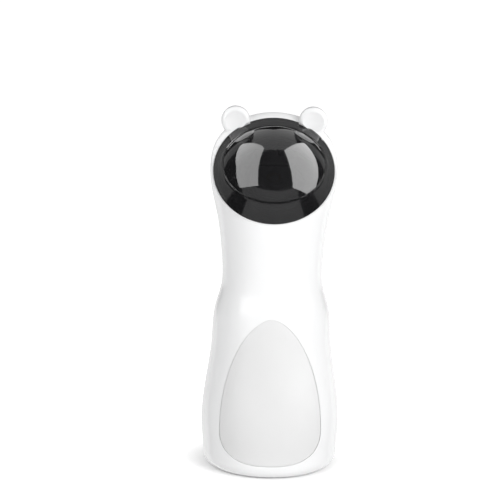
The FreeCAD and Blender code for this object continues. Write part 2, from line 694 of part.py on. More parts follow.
base_low = d.floor_height
base_seat = base_low + d.base_screw_seat
base = ring(0, base_mouth - d.fit, base_low, base_top)
base_tools = [ring(d.foot_inner - d.fit, d.foot_outer + d.fit, 0, base_low + d.foot_groove)]
foot = ring(d.foot_inner, d.foot_outer, 0, d.foot_thickness)
foot_tools = []
screws = []
for x, y in base_screw_spots:
    base_tools.append(cylinder(screw_pass, base_top + 1, (x, y, 0)))
    base_tools.append(cylinder(head_pass, base_seat, (x, y, 0)))
    foot_tools.append(cylinder(head_pass, d.foot_thickness + 2, (x, y, -1)))
    screws.append(place(screw(d.base_screw_length), (x, y, base_seat + d.base_screw_length), TURN["-z"]))
sub_part("base_plate", minus(base, *base_tools))
sub_part("rubber_foot", minus(foot, *foot_tools))
sub_part("base_screws", group(*screws))
screws = []
for x, z in shell_screw_spots:
    screws.append(place(screw(d.screw_seat + d.screw_reach), (x, -d.screw_reach, z), TURN["y"]))
sub_part("shell_screws", group(*screws))

# ---------------------------------------------------------------- battery bay

tray_low = d.cell_foot - 4.6
cell_top = d.cell_foot + d.cell_length
nub_top = cell_top + d.nub_height
tray_high = nub_top + 2.4
well_low = tray_low + d.tray_floor
well_radius = d.cell_radius + d.cell_play
tray_box = block((-tray_half, tray_front, tray_low), (tray_half, tray_back, tray_high))
lug_end = lug_x + d.lug_radius + 0.2
tray_lugs = block((-lug_end, tray_back - d.lug_thickness, d.lug_z - 4), (lug_end, tray_back, d.lug_z + 4))
tray_lugs = common(tray_lugs, cylinder(d.thigh_radius - d.wall - 1, d.lug_z + 10))
tray_tools = []
for x in cell_xs:
    tray_tools.append(cylinder(well_radius, nub_top + 1 - well_low, (x, d.cell_y, well_low)))
    tray_tools.append(block((x - well_radius, d.cell_y, well_low),
                            (x + well_radius, tray_back + 1, tray_high - 0.6)))
for side in (-1, 1):
    tray_tools.append(cylinder(screw_pass, 10, (lug_x * side, tray_back - 5, d.lug_z), "y"))
sub_part("battery_tray", minus(joined(tray_box, tray_lugs), *tray_tools))
tray_screw_length = 5.4
tray_screw_y = tray_back - d.lug_thickness + tray_screw_length
screws = []
for side in (-1, 1):
    screws.append(place(screw(tray_screw_length), (lug_x * side, tray_screw_y, d.lug_z), TURN["-y"]))
sub_part("tray_screws", group(*screws))

batteries = []
tabs = []
springs = []
edge = 0.5
tab_low = nub_top + 0.02
spring_turns = 3
spring_pitch = (d.cell_foot - well_low - 0.7) / spring_turns
for x in cell_xs:
    battery = turned(
        (0, 0), (d.cell_radius - edge, 0), (d.cell_radius, edge), (d.cell_radius, d.cell_length - edge),
        (d.cell_radius - edge, d.cell_length), (d.nub_radius, d.cell_length),
        (d.nub_radius, d.cell_length + d.nub_height), (0, d.cell_length + d.nub_height))
    batteries.append(place(battery, (x, d.cell_y, d.cell_foot)))
    tabs.append(block((x - d.tab_half, d.cell_y - 4.5, tab_low),
                      (x + d.tab_half, d.cell_y + 3.5, tab_low + d.tab_thickness)))
    spring = coil(d.coil_radius.number, d.coil_wire.number, spring_turns, spring_pitch.number)
    spring.translate(Vector(x.number, d.cell_y.number, (well_low + 0.35).number))
    springs.append(spring)
sub_part("battery_cells", group(*batteries))
sub_part("contact_plates", group(*tabs))
sub_part("contact_springs", shaped(Part.makeCompound(springs)))

# ---------------------------------------------------------------- control board

board = block((-d.board_half_width, d.board_y, d.board_bottom),
              (d.board_half_width, board_back, d.board_top))
board_holes = [cylinder(screw_pass, 10, (x, d.board_y - 2, z), "y") for x, z in board_spots]
sub_part("control_board", minus(board, *board_holes))
# left and low corner, width, height and depth of each chip on the board's inner face
chip_spots = ((-6.5, 84.0, 3.9, 4.9, 1.3), (1.0, 92.5, 5.0, 5.0, 1.0), (6.0, 82.0, 3.0, 2.0, 1.1),
              (-4.0, 97.0, 2.6, 1.4, 0.9), (3.0, 99.0, 3.2, 2.6, 2.4))
chips = []
for x, z, wide, tall, deep in chip_spots:
    chips.append(block((x, d.board_y - deep, z), (x + wide, d.board_y, z + tall)))
sub_part("board_chips", group(*chips))
board_screw_length = 4.4
screws = []
for x, z in board_spots:
    screws.append(place(screw(board_screw_length), (x, d.board_y + board_screw_length, z), TURN["-y"]))
sub_part("board_screws", group(*screws))

half = d.socket_width / 2
thin = d.socket_wall
socket_back = board_back + d.socket_depth
socket_body = block((-half, board_back, d.socket_z), (half, socket_back, socket_top))
socket_hollow = block((-half + thin, board_back + 1, d.socket_z + thin),
                      (half - thin, socket_back + 1, socket_top - thin))
socket_tongue = block((-d.socket_tongue, board_back + 1, lamp_z - 0.3),
                      (d.socket_tongue, socket_back - 0.8, lamp_z + 0.3))
sub_part("usb_socket", joined(minus(socket_body, socket_hollow), socket_tongue))

switch_front = board_back + d.switch_depth
switch_box = block((-d.switch_width / 2, board_back, d.switch_z),
                   (d.switch_width / 2, switch_front, d.switch_z + d.switch_height))
groove_half = knob_side + d.knob_travel + 0.3
switch_groove = block((-groove_half, switch_front - 1.4, knob_z - 1),
                      (groove_half, switch_front + 1, knob_z + 1))
sub_part("switch_housing", minus(switch_box, switch_groove))
knob_low = knob_z - d.knob_half
knob_high = knob_z + d.knob_half
knob_parts = [block((-knob_side, switch_front - 1.1, knob_low), (knob_side, d.arm_radius - 0.2, knob_high))]
for x in (-1.05, 0, 1.05):
    knob_parts.append(block((x - 0.25, d.arm_radius - 0.4, knob_low),
                            (x + 0.25, d.arm_radius + 0.2, knob_high)))
sub_part("switch_knob", joined(*knob_parts))
lamp_length = d.arm_radius - 1.4 - board_back
sub_part("status_lamp", cylinder(d.lamp_radius, lamp_length, (d.lamp_x, board_back, lamp_z), "y"))

# ---------------------------------------------------------------- mechanism

post_spots = []
for turn in (10, 100, 170):
    angle = math.radians(turn)
    post_spots.append((d.post_ring * math.cos(angle), d.post_ring * math.sin(angle)))
# the idler's wheel is as large as the room beside the laser holder allows
centre_a = (d.tooth_module * (d.turret_teeth + d.pinion_teeth) / 2 + d.centre_play).number
wheel_reach = centre_a - d.sleeve_radius.number - d.wheel_room.number
wheel_teeth = 2 * int(wheel_reach / d.tooth_module.number - 1)
centre_b = (d.tooth_module * (d.drive_teeth + wheel_teeth) / 2 + d.centre_play).number
idler_turn = math.radians(d.idler_angle.number)
idler_x, idler_y = centre_a * math.cos(idler_turn), centre_a * math.sin(idler_turn)
motor_turn = math.radians(d.motor_angle.number)
motor_x, motor_y = idler_x + centre_b * math.cos(motor_turn), idler_y + centre_b * math.sin(motor_turn)
motor_screw_spots = [(motor_x, motor_y + d.motor_screw_x * side) for side in (-1, 1)]
under = -d.plate_drop
motor_top = under - d.plate_thickness
pin_hole = d.pin_radius + d.press

chassis = ring(d.hub_radius + 0.6, d.chassis_radius, -d.chassis_thickness, 0)
tools = [cylinder(screw_pass, 10, (x, y, -5)) for x, y in (*chassis_spots, *post_spots)]
tools.append(cylinder(pin_hole, 10, (idler_x, idler_y, -5)))
sub_part("mechanism_chassis", on_axis(minus(chassis, *tools)))
screws = [place(screw(7.0), (x, y, -7.0)) for x, y in chassis_spots]
sub_part("chassis_screws", on_axis(group(*screws)))

gear_plate = ring(d.sleeve_radius + d.press, d.plate_radius, motor_top, under)
posts = []
tools = []
for x, y in post_spots:
    posts.append(cylinder(d.post_radius, -d.chassis_thickness - under + 0.4, (x, y, under - 0.4)))
    tools.append(cylinder(screw_hole, 10, (x, y, -10.5)))
tools.append(cylinder(pin_hole, 10, (idler_x, idler_y, under - 5)))
tools.append(cylinder(d.motor_nose + 0.1, 10, (motor_x, motor_y, under - 5)))
tools += [cylinder(screw_pass, 10, (x, y, under - 5)) for x, y in motor_screw_spots]
sub_part("gear_plate", on_axis(minus(joined(gear_plate, *posts), *tools)))
screws = [place(screw(6.0), (x, y, -6.0)) for x, y in post_spots]
sub_part("gear_plate_screws", on_axis(group(*screws)))

motor_low = motor_top - d.motor_length
nose_top = motor_top + d.nose_height
shaft_low = motor_top - d.shaft_sunk
motor_bore = d.shaft_radius + d.running
chamfer = d.motor_edge
bore_low = shaft_low - 0.5
motor = turned(
    (motor_bore, bore_low), (motor_bore, nose_top), (d.motor_nose, nose_top), (d.motor_nose, motor_top),
    (d.motor_radius - chamfer, motor_top), (d.motor_radius, motor_top - chamfer),
    (d.motor_radius, motor_low + chamfer), (d.motor_radius - chamfer, motor_low),
    (0, motor_low), (0, bore_low))
motor_cut = [cylinder(screw_hole, 4, (0, d.motor_screw_x * side, motor_top - 4 + 0.01)) for side in (-1, 1)]
sub_part("motor", on_axis(group(place(minus(motor, *motor_cut), (motor_x, motor_y, 0)))))
screws = [place(screw(4.4), (x, y, under - 4.4)) for x, y in motor_screw_spots]
sub_part("motor_screws", on_axis(group(*screws)))
shaft_top = d.wheel_z + d.gear_thick + 0.4
shaft = cylinder(d.shaft_radius, shaft_top - shaft_low, (motor_x, motor_y, shaft_low))
sub_part("motor_shaft", on_axis(group(shaft)))

thick = d.gear_thick.number
to_motor = math.degrees(math.atan2(motor_y - idler_y, motor_x - idler_x))
to_turret = math.degrees(math.atan2(-idler_y, -idler_x))
drive_teeth = int(d.drive_teeth.number)
pinion_teeth = int(d.pinion_teeth.number)
turret_teeth = int(d.turret_teeth.number)
idler_bore = (d.pin_radius + d.running).number
drive_turn = to_motor + 180 + 180 / drive_teeth
drive = gear(drive_teeth, thick, d.wheel_z.number, d.shaft_radius.number, drive_turn)
drive.translate(Vector(motor_x, motor_y, 0))
sub_part("motor_pinion", on_axis(group(shaped(drive))))
wheel = gear(wheel_teeth, thick, d.wheel_z.number, idler_bore, to_motor)
pinion = gear(pinion_teeth, thick + 1.6, d.wheel_z.number + thick - 0.2, idler_bore, to_turret)
idler = wheel.fuse(pinion)
idler.translate(Vector(idler_x, idler_y, 0))
sub_part("idler_gear", on_axis(group(shaped(idler))))
sub_part("idler_pin", on_axis(group(cylinder(d.pin_radius, -motor_top, (idler_x, idler_y, motor_top)))))
hub_bore = (d.hub_radius + d.press).number
ring_turn = to_turret + 180 + 180 / turret_teeth
ring_gear = gear(turret_teeth, thick, d.turret_gear_z.number, hub_bore, ring_turn)
sub_part("turret_gear", on_axis(shaped(ring_gear)))

bore = d.sleeve_radius + d.running
hub_low = d.turret_gear_z - 0.2
deck_top = d.deck_z + d.deck_thickness
turret = turned(
    (bore, hub_low), (d.hub_radius, hub_low), (d.hub_radius, d.deck_z), (d.deck_radius, d.deck_z),
    (d.deck_radius, deck_top), (bore, deck_top))
cheek_far = d.cheek_x + d.cheek_thickness
cheeks = []
for low, high in ((-cheek_far, -d.cheek_x), (d.cheek_x, cheek_far)):
    cheeks.append(block((low, d.pivot_y - d.cheek_half, deck_top - 1),
                        (high, d.pivot_y + d.cheek_half, d.pivot_z + 3)))
pivot_hole = cylinder(d.pivot_radius + d.running, BEYOND, (-BEYOND / 2, d.pivot_y, d.pivot_z), "x")
sub_part("turret", on_axis(minus(joined(turret, *cheeks), pivot_hole)))

barrel_bore = d.barrel_radius + d.press
flange_low = motor_top - d.flange_thickness
holder = turned(
    (barrel_bore, flange_low), (d.flange_radius, flange_low), (d.flange_radius, motor_top),
    (d.sleeve_radius, motor_top), (d.sleeve_radius, d.sleeve_top), (barrel_bore, d.sleeve_top))
sub_part("laser_holder", on_axis(group(holder)))
clip_low = deck_top + 0.3
clip_high = clip_low + d.clip_thickness
clip = ring(bore, d.sleeve_radius + d.clip_width, clip_low, clip_high)
clip_gap = block((-1.5, 0, clip_low - 1), (1.5, 20, clip_high + 1))
sub_part("turret_clip", on_axis(group(minus(clip, clip_gap))))
barrel_low = motor_top - 4
barrel_top = d.sleeve_top - 0.8
pocket = d.lens_radius + 0.05
seat = barrel_top - 1.2
barrel = turned(
    (0, barrel_low), (d.barrel_radius, barrel_low), (d.barrel_radius, barrel_top), (pocket, barrel_top),
    (pocket, seat), (pocket / 2, seat), (pocket / 2, barrel_top - 6), (0, barrel_top - 6))
sub_part("laser_barrel", on_axis(group(barrel)))
lens_low = seat + 0.02
lens = turned(
    (0, lens_low), (d.lens_radius, lens_low), (d.lens_radius, barrel_top - 0.7), (1.6, barrel_top - 0.4),
    (0, barrel_top - 0.3))
sub_part("laser_lens", on_axis(group(lens)))
driver = block((-d.driver_half, -0.5, barrel_low - d.driver_length), (d.driver_half, 0.5, barrel_low))
sub_part("laser_driver", on_axis(group(driver)))

cam_shape = ring(d.cam_inner, d.cam_outer, 0, d.cam_floor)
doc.recompute()
cam_shape = cam_shape.Shape.copy()
hump_x = d.cam_inner + 0.3
hump_z = d.cam_floor + d.cam_lift - d.cam_round
hump_low = d.cam_floor - 0.5
hump_length = d.cam_outer - d.cam_inner - 0.6
for turn in (45, 135, 225, 315):
    hump = Part.makeCylinder(d.cam_round.number, hump_length.number)
    hump.Placement = Placement(Vector(hump_x.number, 0, hump_z.number), TURN["x"])
    hump = hump.common(box_between((0, -BEYOND, hump_low), (BEYOND, BEYOND, hump_low + 10)))
    hump.rotate(Vector(), Vector(0, 0, 1), turn)
    cam_shape = cam_shape.fuse(hump)
sub_part("cam_ring", on_axis(shaped(cam_shape)))

# the nodding mirror: built about its pivot, leaning, then moved to the pivot
pivot = (0, d.pivot_y, d.pivot_z)
lean = Rotation(Vector(1, 0, 0), d.mirror_tilt.number)
mirror_front = -2.5
glass_back = mirror_front + d.mirror_thickness
frame_half = d.mirror_half_width + 0.2 + d.frame_rail
frame_tall = d.mirror_half_height + 0.4
frame_back = glass_back + d.frame_thickness
parts = [block((-frame_half, glass_back, -frame_tall), (frame_half, frame_back, frame_tall))]
for low in (-frame_half, frame_half - d.frame_rail):
    parts.append(block((low, mirror_front - 0.2, -frame_tall),
                       (low + d.frame_rail, glass_back + 0.4, frame_tall)))
leaned = place(joined(*parts), pivot, lean)
trunnion = cylinder(d.pivot_radius, cheek_far * 2, (-cheek_far, d.pivot_y, d.pivot_z), "x")
roller_z = d.cam_floor + d.cam_lift + d.roller_gap + d.roller_radius
tail_far = d.tail_y + 1.5
tail_top = d.tail_z + d.tail_thickness
arm = block((-d.tail_half_width, 8.2, d.tail_z), (d.tail_half_width, tail_far, tail_top))
leg = block((-d.tail_half_width, d.tail_y, roller_z - 1.4), (d.tail_half_width, tail_far, tail_top))
stub = cylinder(d.stub_radius, d.roller_width + 1, (0, tail_far - 0.2, roller_z), "y")
sub_part("mirror_frame", on_axis(joined(leaned, trunnion, arm, leg, stub)))
glass = block((-d.mirror_half_width, mirror_front, -d.mirror_half_height),
              (d.mirror_half_width, glass_back - d.press, d.mirror_half_height))
sub_part("mirror", on_axis(group(place(group(glass), pivot, lean))))
roller = ring(d.stub_radius + d.running, d.roller_radius, 0, d.roller_width)
place(roller, (0, tail_far + 0.3, roller_z), TURN["y"])
sub_part("follower_roller", on_axis(group(roller)))
nod_spring = coil(d.nod_coil.number, d.nod_wire.number, 3, 0.5)
nod_spot = Vector((frame_half + 0.3).number, d.pivot_y.number, d.pivot_z.number)
nod_spring.Placement = Placement(nod_spot, TURN["x"])
sub_part("mirror_spring", on_axis(shaped(Part.makeCompound([nod_spring]))))

# ---------------------------------------------------------------- write the sub-parts

doc.recompute()
for thing in doc.Objects:
    if "Invalid" in thing.State or "Error" in thing.State:
        raise RuntimeError(f"{thing.Name} ({thing.Label}) failed: {thing.State}")
os.makedirs("parts", exist_ok=True)
for thing in sub_parts:
    if thing.Shape.isNull() or not thing.Shape.isValid():
        raise RuntimeError(f"{thing.Label} has no valid shape")
    thing.Shape.exportStep(f"parts/{thing.Label}.step")
    print(f"{thing.Label}: {len(thing.Shape.Solids)} solids, {thing.Shape.Volume:.1f} mm3")
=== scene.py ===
import json
import math

import bpy
import numpy as np
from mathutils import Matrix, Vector

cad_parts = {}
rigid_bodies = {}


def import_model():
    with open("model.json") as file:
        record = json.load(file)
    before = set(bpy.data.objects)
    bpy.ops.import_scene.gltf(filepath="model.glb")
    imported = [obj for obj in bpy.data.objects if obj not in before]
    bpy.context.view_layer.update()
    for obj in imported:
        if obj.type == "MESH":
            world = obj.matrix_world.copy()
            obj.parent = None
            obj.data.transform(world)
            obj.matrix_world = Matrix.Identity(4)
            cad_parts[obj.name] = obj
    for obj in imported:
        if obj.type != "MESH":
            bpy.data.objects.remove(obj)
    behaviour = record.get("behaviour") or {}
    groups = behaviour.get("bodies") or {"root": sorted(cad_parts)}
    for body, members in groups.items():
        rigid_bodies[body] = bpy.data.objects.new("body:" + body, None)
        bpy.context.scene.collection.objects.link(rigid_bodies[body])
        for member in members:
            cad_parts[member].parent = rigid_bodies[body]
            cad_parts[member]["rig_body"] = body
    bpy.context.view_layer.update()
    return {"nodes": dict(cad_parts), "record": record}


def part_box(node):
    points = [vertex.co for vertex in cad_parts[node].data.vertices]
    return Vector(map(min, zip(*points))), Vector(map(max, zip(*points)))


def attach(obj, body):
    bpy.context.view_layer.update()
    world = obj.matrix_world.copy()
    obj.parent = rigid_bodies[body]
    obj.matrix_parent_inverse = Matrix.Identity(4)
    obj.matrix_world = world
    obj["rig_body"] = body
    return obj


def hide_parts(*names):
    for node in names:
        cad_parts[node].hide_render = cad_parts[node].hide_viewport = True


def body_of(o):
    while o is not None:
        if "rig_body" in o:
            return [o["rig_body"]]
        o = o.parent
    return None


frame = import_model()
nodes = frame["nodes"]
scene = bpy.context.scene
scene.view_settings.view_transform = "Standard"
mm = 0.001
# past the body's surface on every side
beyond = 60
helperNames = {"outerForm", "cavity", "hollow", "recess", "boss", "peg", "tongueFoot", "helper"}
print("frame loaded:", len(nodes), "nodes")


# ---- curves and grids

def smoothThrough(points, samples, closed=False):
    # natural or closed cubic spline: its parameter is the chord length, its second
    # derivatives solve one linear system, and every span is a cubic in that parameter
    points = np.asarray(points, float)
    if closed:
        points = np.vstack([points, points[:1]])
    step = np.linalg.norm(np.diff(points, axis=0), axis=1)
    knots = np.concatenate([[0], np.cumsum(step)])
    count = len(points)
    system = np.zeros((count, count))
    right = np.zeros((count, points.shape[1]))
    slope = np.diff(points, axis=0) / step[:, None]
    inner = np.arange(1, count - 1)
    system[inner, inner - 1] = step[:-1]
    system[inner, inner] = 2 * (step[:-1] + step[1:])
    system[inner, inner + 1] = step[1:]
    right[1:-1] = 6 * np.diff(slope, axis=0)
    if closed:
        system[0, 0], system[0, -1] = 1, -1
        system[-1, [0, 1, -2, -1]] = 2 * step[0], step[0], step[-1], 2 * step[-1]
        right[-1] = 6 * (slope[0] - slope[-1])
    else:
        system[0, 0] = system[-1, -1] = 1
    bend = np.linalg.solve(system, right)
    at = np.linspace(0, knots[-1], samples, endpoint=not closed)
    span = np.clip(np.searchsorted(knots, at, side="right") - 1, 0, count - 2)
    width = step[span][:, None]
    near = ((at - knots[span])[:, None]) / width
    far = 1 - near
    return (far * points[span] + near * points[span + 1]
            + ((far ** 3 - far) * bend[span] + (near ** 3 - near) * bend[span + 1]) * width ** 2 / 6)


def wrappedGrid(points, startPole=None, endPole=None):
    # rows follow the first index and close round the second; a pole closes an open end with a fan
    rows, columns = points.shape[:2]
    index = np.arange(rows * columns).reshape(rows, columns)
    ahead = np.roll(index, -1, axis=1)
    faces = np.stack([index[:-1], ahead[:-1], ahead[1:], index[1:]], -1).reshape(-1, 4).tolist()
    vertices = points.reshape(-1, 3)
    for pole, row in ((startPole, 0), (endPole, -1)):
        if pole is not None:
            vertices = np.vstack([vertices, np.reshape(pole, (1, 3))])
            hub = np.full(columns, len(vertices) - 1)
            edge = (ahead[row], index[row]) if row == 0 else (index[row], ahead[row])
            faces += np.stack([edge[0], edge[1], hub], -1).tolist()
    return vertices, faces


def outward(vertices, faces):
    # the signed volume under all the faces tells which way they look
    volume = 0.0
    for corners in (3, 4):
        group = np.array([face for face in faces if len(face) == corners])
        if len(group):
            spots = vertices[group]
            for last in range(2, corners):
                cross = np.cross(spots[:, last - 1], spots[:, last])
                volume += float(np.sum(spots[:, 0] * cross))
    return faces if volume > 0 else [face[::-1] for face in faces]


def makePiece(name, vertices, faces, sharpAngle=None):
    # vertices come in millimetres
    mesh = bpy.data.meshes.new(name)
    mesh.from_pydata((np.asarray(vertices) * mm).tolist(), [], outward(np.asarray(vertices), faces))
    mesh.validate()
    mesh.shade_smooth()
    if sharpAngle:
        mesh.set_sharp_from_angle(angle=math.radians(sharpAngle))
    piece = bpy.data.objects.new(name, mesh)
    scene.collection.objects.link(piece)
    return piece


def lathe(profile, columns, turn=0.0):
    # radius and height pairs swept round the Z axis
    angle = np.linspace(0, 2 * math.pi, columns, endpoint=False) + turn
    profile = np.asarray(profile, float)
    return np.stack([profile[:, :1] * np.cos(angle), profile[:, :1] * np.sin(angle),
                     np.repeat(profile[:, 1:], columns, axis=1)], -1)


def leaned(points, tilt, spot):
    # turn about X by tilt, then move: y' = y cos - z sin, z' = y sin + z cos
    cosine, sine = math.cos(math.radians(tilt)), math.sin(math.radians(tilt))
    points = np.asarray(points, float)
    x, y, z = points[..., 0], points[..., 1], points[..., 2]
    return np.stack([x + spot[0], y * cosine - z * sine + spot[1], y * sine + z * cosine + spot[2]], -1)


def boxSolid(low, high):
    sidesX, sidesY, sidesZ = zip(low, high)
    corners = np.array([[x, y, z] for x in sidesX for y in sidesY for z in sidesZ], float)
    return corners, [[0, 1, 3, 2], [4, 6, 7, 5], [0, 4, 5, 1], [2, 3, 7, 6], [0, 2, 6, 4], [1, 5, 7, 3]]


def rodSolid(radius, low, high, columns=64):
    # a closed cylinder along Z
    points = lathe([(radius, low), (radius, high)], columns)
    return wrappedGrid(points, (0, 0, low), (0, 0, high))


def alongY(solid, spot):
    # stand a Z solid along +Y: (x, y, z) becomes (x, z, -y)
    vertices, faces = solid
    turned = np.stack([vertices[:, 0] + spot[0], vertices[:, 2] + spot[1], -vertices[:, 1] + spot[2]], -1)
    return turned, faces


def prismSolid(outline, low, high):
    # an outline in X and Z carried along Y
    rows = np.stack([np.insert(outline, 1, y, axis=1) for y in (low, high)])
    middle = outline.mean(axis=0)
    return wrappedGrid(rows, (middle[0], low, middle[1]), (middle[0], high, middle[1]))


def copied(piece):
    twin = bpy.data.objects.new("twin", piece.data.copy())
    scene.collection.objects.link(twin)
    return twin


def drill(radius, low, high, x, z):
    # a bore along Y, to be taken away
    return "DIFFERENCE", alongY(rodSolid(radius, low, high), (x, 0, z))


def combined(name, base, tools, sharpAngle=30):
    # one solid after another is taken away from, added to or shared with the base
    piece = base if isinstance(base, bpy.types.Object) else makePiece(name, *base)
    piece.name = name
    for kind, tool in tools:
        helper = tool if isinstance(tool, bpy.types.Object) else makePiece("helper", *tool)
        step = piece.modifiers.new("step", "BOOLEAN")
        step.operation = kind
        step.solver = "MANIFOLD"
        step.object = helper
        bpy.context.view_layer.update()
        result = bpy.data.meshes.new_from_object(piece.evaluated_get(bpy.context.evaluated_depsgraph_get()))
        piece.modifiers.clear()
        old = piece.data
        piece.data = result
        bpy.data.meshes.remove(old)
        if not isinstance(tool, bpy.types.Object):
            bpy.data.objects.remove(helper)
    piece.data.name = name
    piece.data.shade_smooth()
    piece.data.set_sharp_from_angle(angle=math.radians(sharpAngle))
    return piece


def studIn(form, radius, low, x, z):
    # a stud along Y from low to the form's surface, to be added
    stud = makePiece("boss", *alongY(rodSolid(radius, low, beyond), (x, 0, z)))
    return "UNION", combined("boss", stud, [("INTERSECT", form)])


# ---- the body's outline

outline = {
    "stations": ((36.4, 1.0), (39.3, 3.2), (41.5, 12.6), (42.4, 25.0), (41.9, 39.5), (40.2, 53.0),
                 (38.2, 66.0), (36.8, 78.0), (36.1, 91.0), (34.3, 102.0), (31.3, 113.0), (30.6, 123.0),
                 (31.6, 138.0), (33.6, 154.0), (35.9, 165.0), (38.8, 183.0)),
    "crown": 221.0, "crownPower": 2.4, "crownShares": (0.94, 0.82, 0.62, 0.35),
    "wall": 2.4,
}


def bodyOutline(inset, samples=1400):
    # the stations moved inwards, a superellipse over the crown, and the mirrored crown past the pole
    spots = [(radius - inset, height) for radius, height in outline["stations"]]
    top = outline["crown"] - inset
    widest, shoulder = spots[-1]
    power = outline["crownPower"]
    for share in outline["crownShares"]:
        spots.append((widest * share, shoulder + (top - shoulder) * (1 - share ** power) ** (1 / power)))
    mirrored = [(-radius, height) for radius, height in reversed(spots[-3:])]
    line = smoothThrough(spots + [(0.0, top)] + mirrored, samples)
    return line[:np.argmax(line[:, 0] < 0)]


def radiusAt(height, inset=0.0):
    line = bodyOutline(inset)
    return np.interp(height, line[:, 1], line[:, 0])


# ---- the head: a body outline trimmed by a bullet round the visor's axis

visorSeat = {"rimSpot": (0, -10.3, 186.2), "rimTilt": 51.0, "rimRadius": 36.8, "land": 0.6, "blend": 8.5,
             "fall": 8.0, "coneFall": 60, "coneReach": 220, "softness": 1.1, "heart": (0, 0, 178.0),
             "ringHeight": 146.0, "opening": 35.4}


def bulletHeight(radius):
    # flat to the land's edge, then the arc through three points, then a shallow cone
    start = visorSeat["rimRadius"] + visorSeat["land"]
    far, fall = start + visorSeat["blend"], visorSeat["fall"]
    ax, ay, bx, by, cx, cy = start, 0.0, start + visorSeat["blend"] * 0.62, -fall * 0.36, far, -fall
    area = 2 * (ax * (by - cy) + bx * (cy - ay) + cx * (ay - by))
    aSquare, bSquare, cSquare = ax ** 2 + ay ** 2, bx ** 2 + by ** 2, cx ** 2 + cy ** 2
    ux = (aSquare * (by - cy) + bSquare * (cy - ay) + cSquare * (ay - by)) / area
    uy = (aSquare * (cx - bx) + bSquare * (ax - cx) + cSquare * (bx - ax)) / area
    curve = math.hypot(ax - ux, ay - uy)
    arc = uy + np.sqrt(np.maximum(curve ** 2 - (radius - ux) ** 2, 0))
    cone = -fall + (radius - far) * (fall - visorSeat["coneFall"]) / visorSeat["coneReach"]
    return np.where(radius < start, 0.0, np.where(radius < far, arc, cone))


def headPoints(directions):
    # distance from the heart to the outline and, by halving, to the bullet; then the softened smaller one
    heart = np.array(visorSeat["heart"])
    line = bodyOutline(0.0, 3000)
    polar = np.arctan2(line[:, 0], line[:, 1] - heart[2])
    reach = np.hypot(line[:, 0], line[:, 1] - heart[2])
    order = np.argsort(polar)
    lean = np.arctan2(np.hypot(directions[..., 0], directions[..., 1]), directions[..., 2])
    toBody = np.interp(lean, polar[order], reach[order])
    tilt = math.radians(visorSeat["rimTilt"])
    normal = np.array([0, -math.sin(tilt), math.cos(tilt)])
    offset = heart - np.array(visorSeat["rimSpot"])
    low, high = np.zeros(toBody.shape), np.full(toBody.shape, 90.0)
    for _ in range(34):
        middle = (low + high) / 2
        spot = offset + directions * middle[..., None]
        height = spot @ normal
        across = np.sqrt(np.maximum((spot ** 2).sum(-1) - height ** 2, 0))
        inside = height < bulletHeight(across)
        low, high = np.where(inside, middle, low), np.where(inside, high, middle)
    toBullet = low
    soft = visorSeat["softness"]
    mix = np.clip(0.5 + 0.5 * (toBullet - toBody) / soft, 0, 1)
    reach = toBullet * (1 - mix) + toBody * mix - soft * mix * (1 - mix)
    return heart + directions * reach[..., None]


def unit(vectors):
    return vectors / np.linalg.norm(vectors, axis=-1, keepdims=True)


def outerForm(columns=320, bodyRows=190, headRows=150):
    # straight rows up the trunk, then great-circle rows from the trunk's ring to the visor's rim
    share = np.linspace(0, 1, bodyRows)
    low = outline["stations"][0][1]
    heights = low + (visorSeat["ringHeight"] - low) * (0.35 * share ** 2.2 + 0.65 * share)
    trunk = lathe(np.stack([radiusAt(heights), heights], -1), columns)
    heart = np.array(visorSeat["heart"])
    start = unit(trunk[-1] - heart)
    rimRadius = visorSeat["rimRadius"] + visorSeat["land"]
    flat = lathe([(rimRadius, 0.0)], columns)[0]
    rim = leaned(flat, visorSeat["rimTilt"], visorSeat["rimSpot"])
    finish = unit(rim - heart)
    turn = np.arccos(np.clip((start * finish).sum(-1), -1, 1))
    step = 1 - (1 - np.linspace(0, 1, headRows + 1)[1:, None]) ** 1.5
    directions = (np.sin((1 - step) * turn)[..., None] * start + np.sin(step * turn)[..., None] * finish)
    head = headPoints(unit(directions))
    head[-1] = rim
    inner = leaned(flat * [0.9, 0.9, 1], visorSeat["rimTilt"], visorSeat["rimSpot"])
    rows = np.concatenate([trunk, head, inner[None]])
    return wrappedGrid(rows, (0, 0, heights[0]), visorSeat["rimSpot"])


ears = {"x": 23.7, "y": 11.0, "z": 213.4, "radius": 8.9, "thickness": 8.0, "rim": 2.6, "dish": 1.2}


def earForm(side):
    # a disc turned about Y: a dished front, a quarter round, the rim, a quarter round and a flat back
    radius, half, rim, dish = ears["radius"], ears["thickness"] / 2, ears["rim"], ears["dish"]
    mouth = radius - rim
    ball = (mouth ** 2 + dish ** 2) / (2 * dish)
    share = np.linspace(0.03, 1, 18)
    front = [(mouth * s, half - dish + ball - math.sqrt(ball ** 2 - (mouth * s) ** 2)) for s in share]
    quarter = np.linspace(0, math.pi / 2, 15)
    lip = [(mouth + rim * math.sin(a), half - rim + rim * math.cos(a)) for a in quarter[1:]]
    back = [(mouth + rim * math.cos(a), -half + rim - rim * math.sin(a)) for a in quarter]
    grid = lathe(front + lip + back, 96)
    points, faces = wrappedGrid(grid, (0, 0, half - dish), (0, 0, -half))
    # the disc's axis, +Z here, looks along -Y
    x, y, z = points.T
    return np.stack([x + side * ears["x"], -z + ears["y"], y + ears["z"]], -1), faces


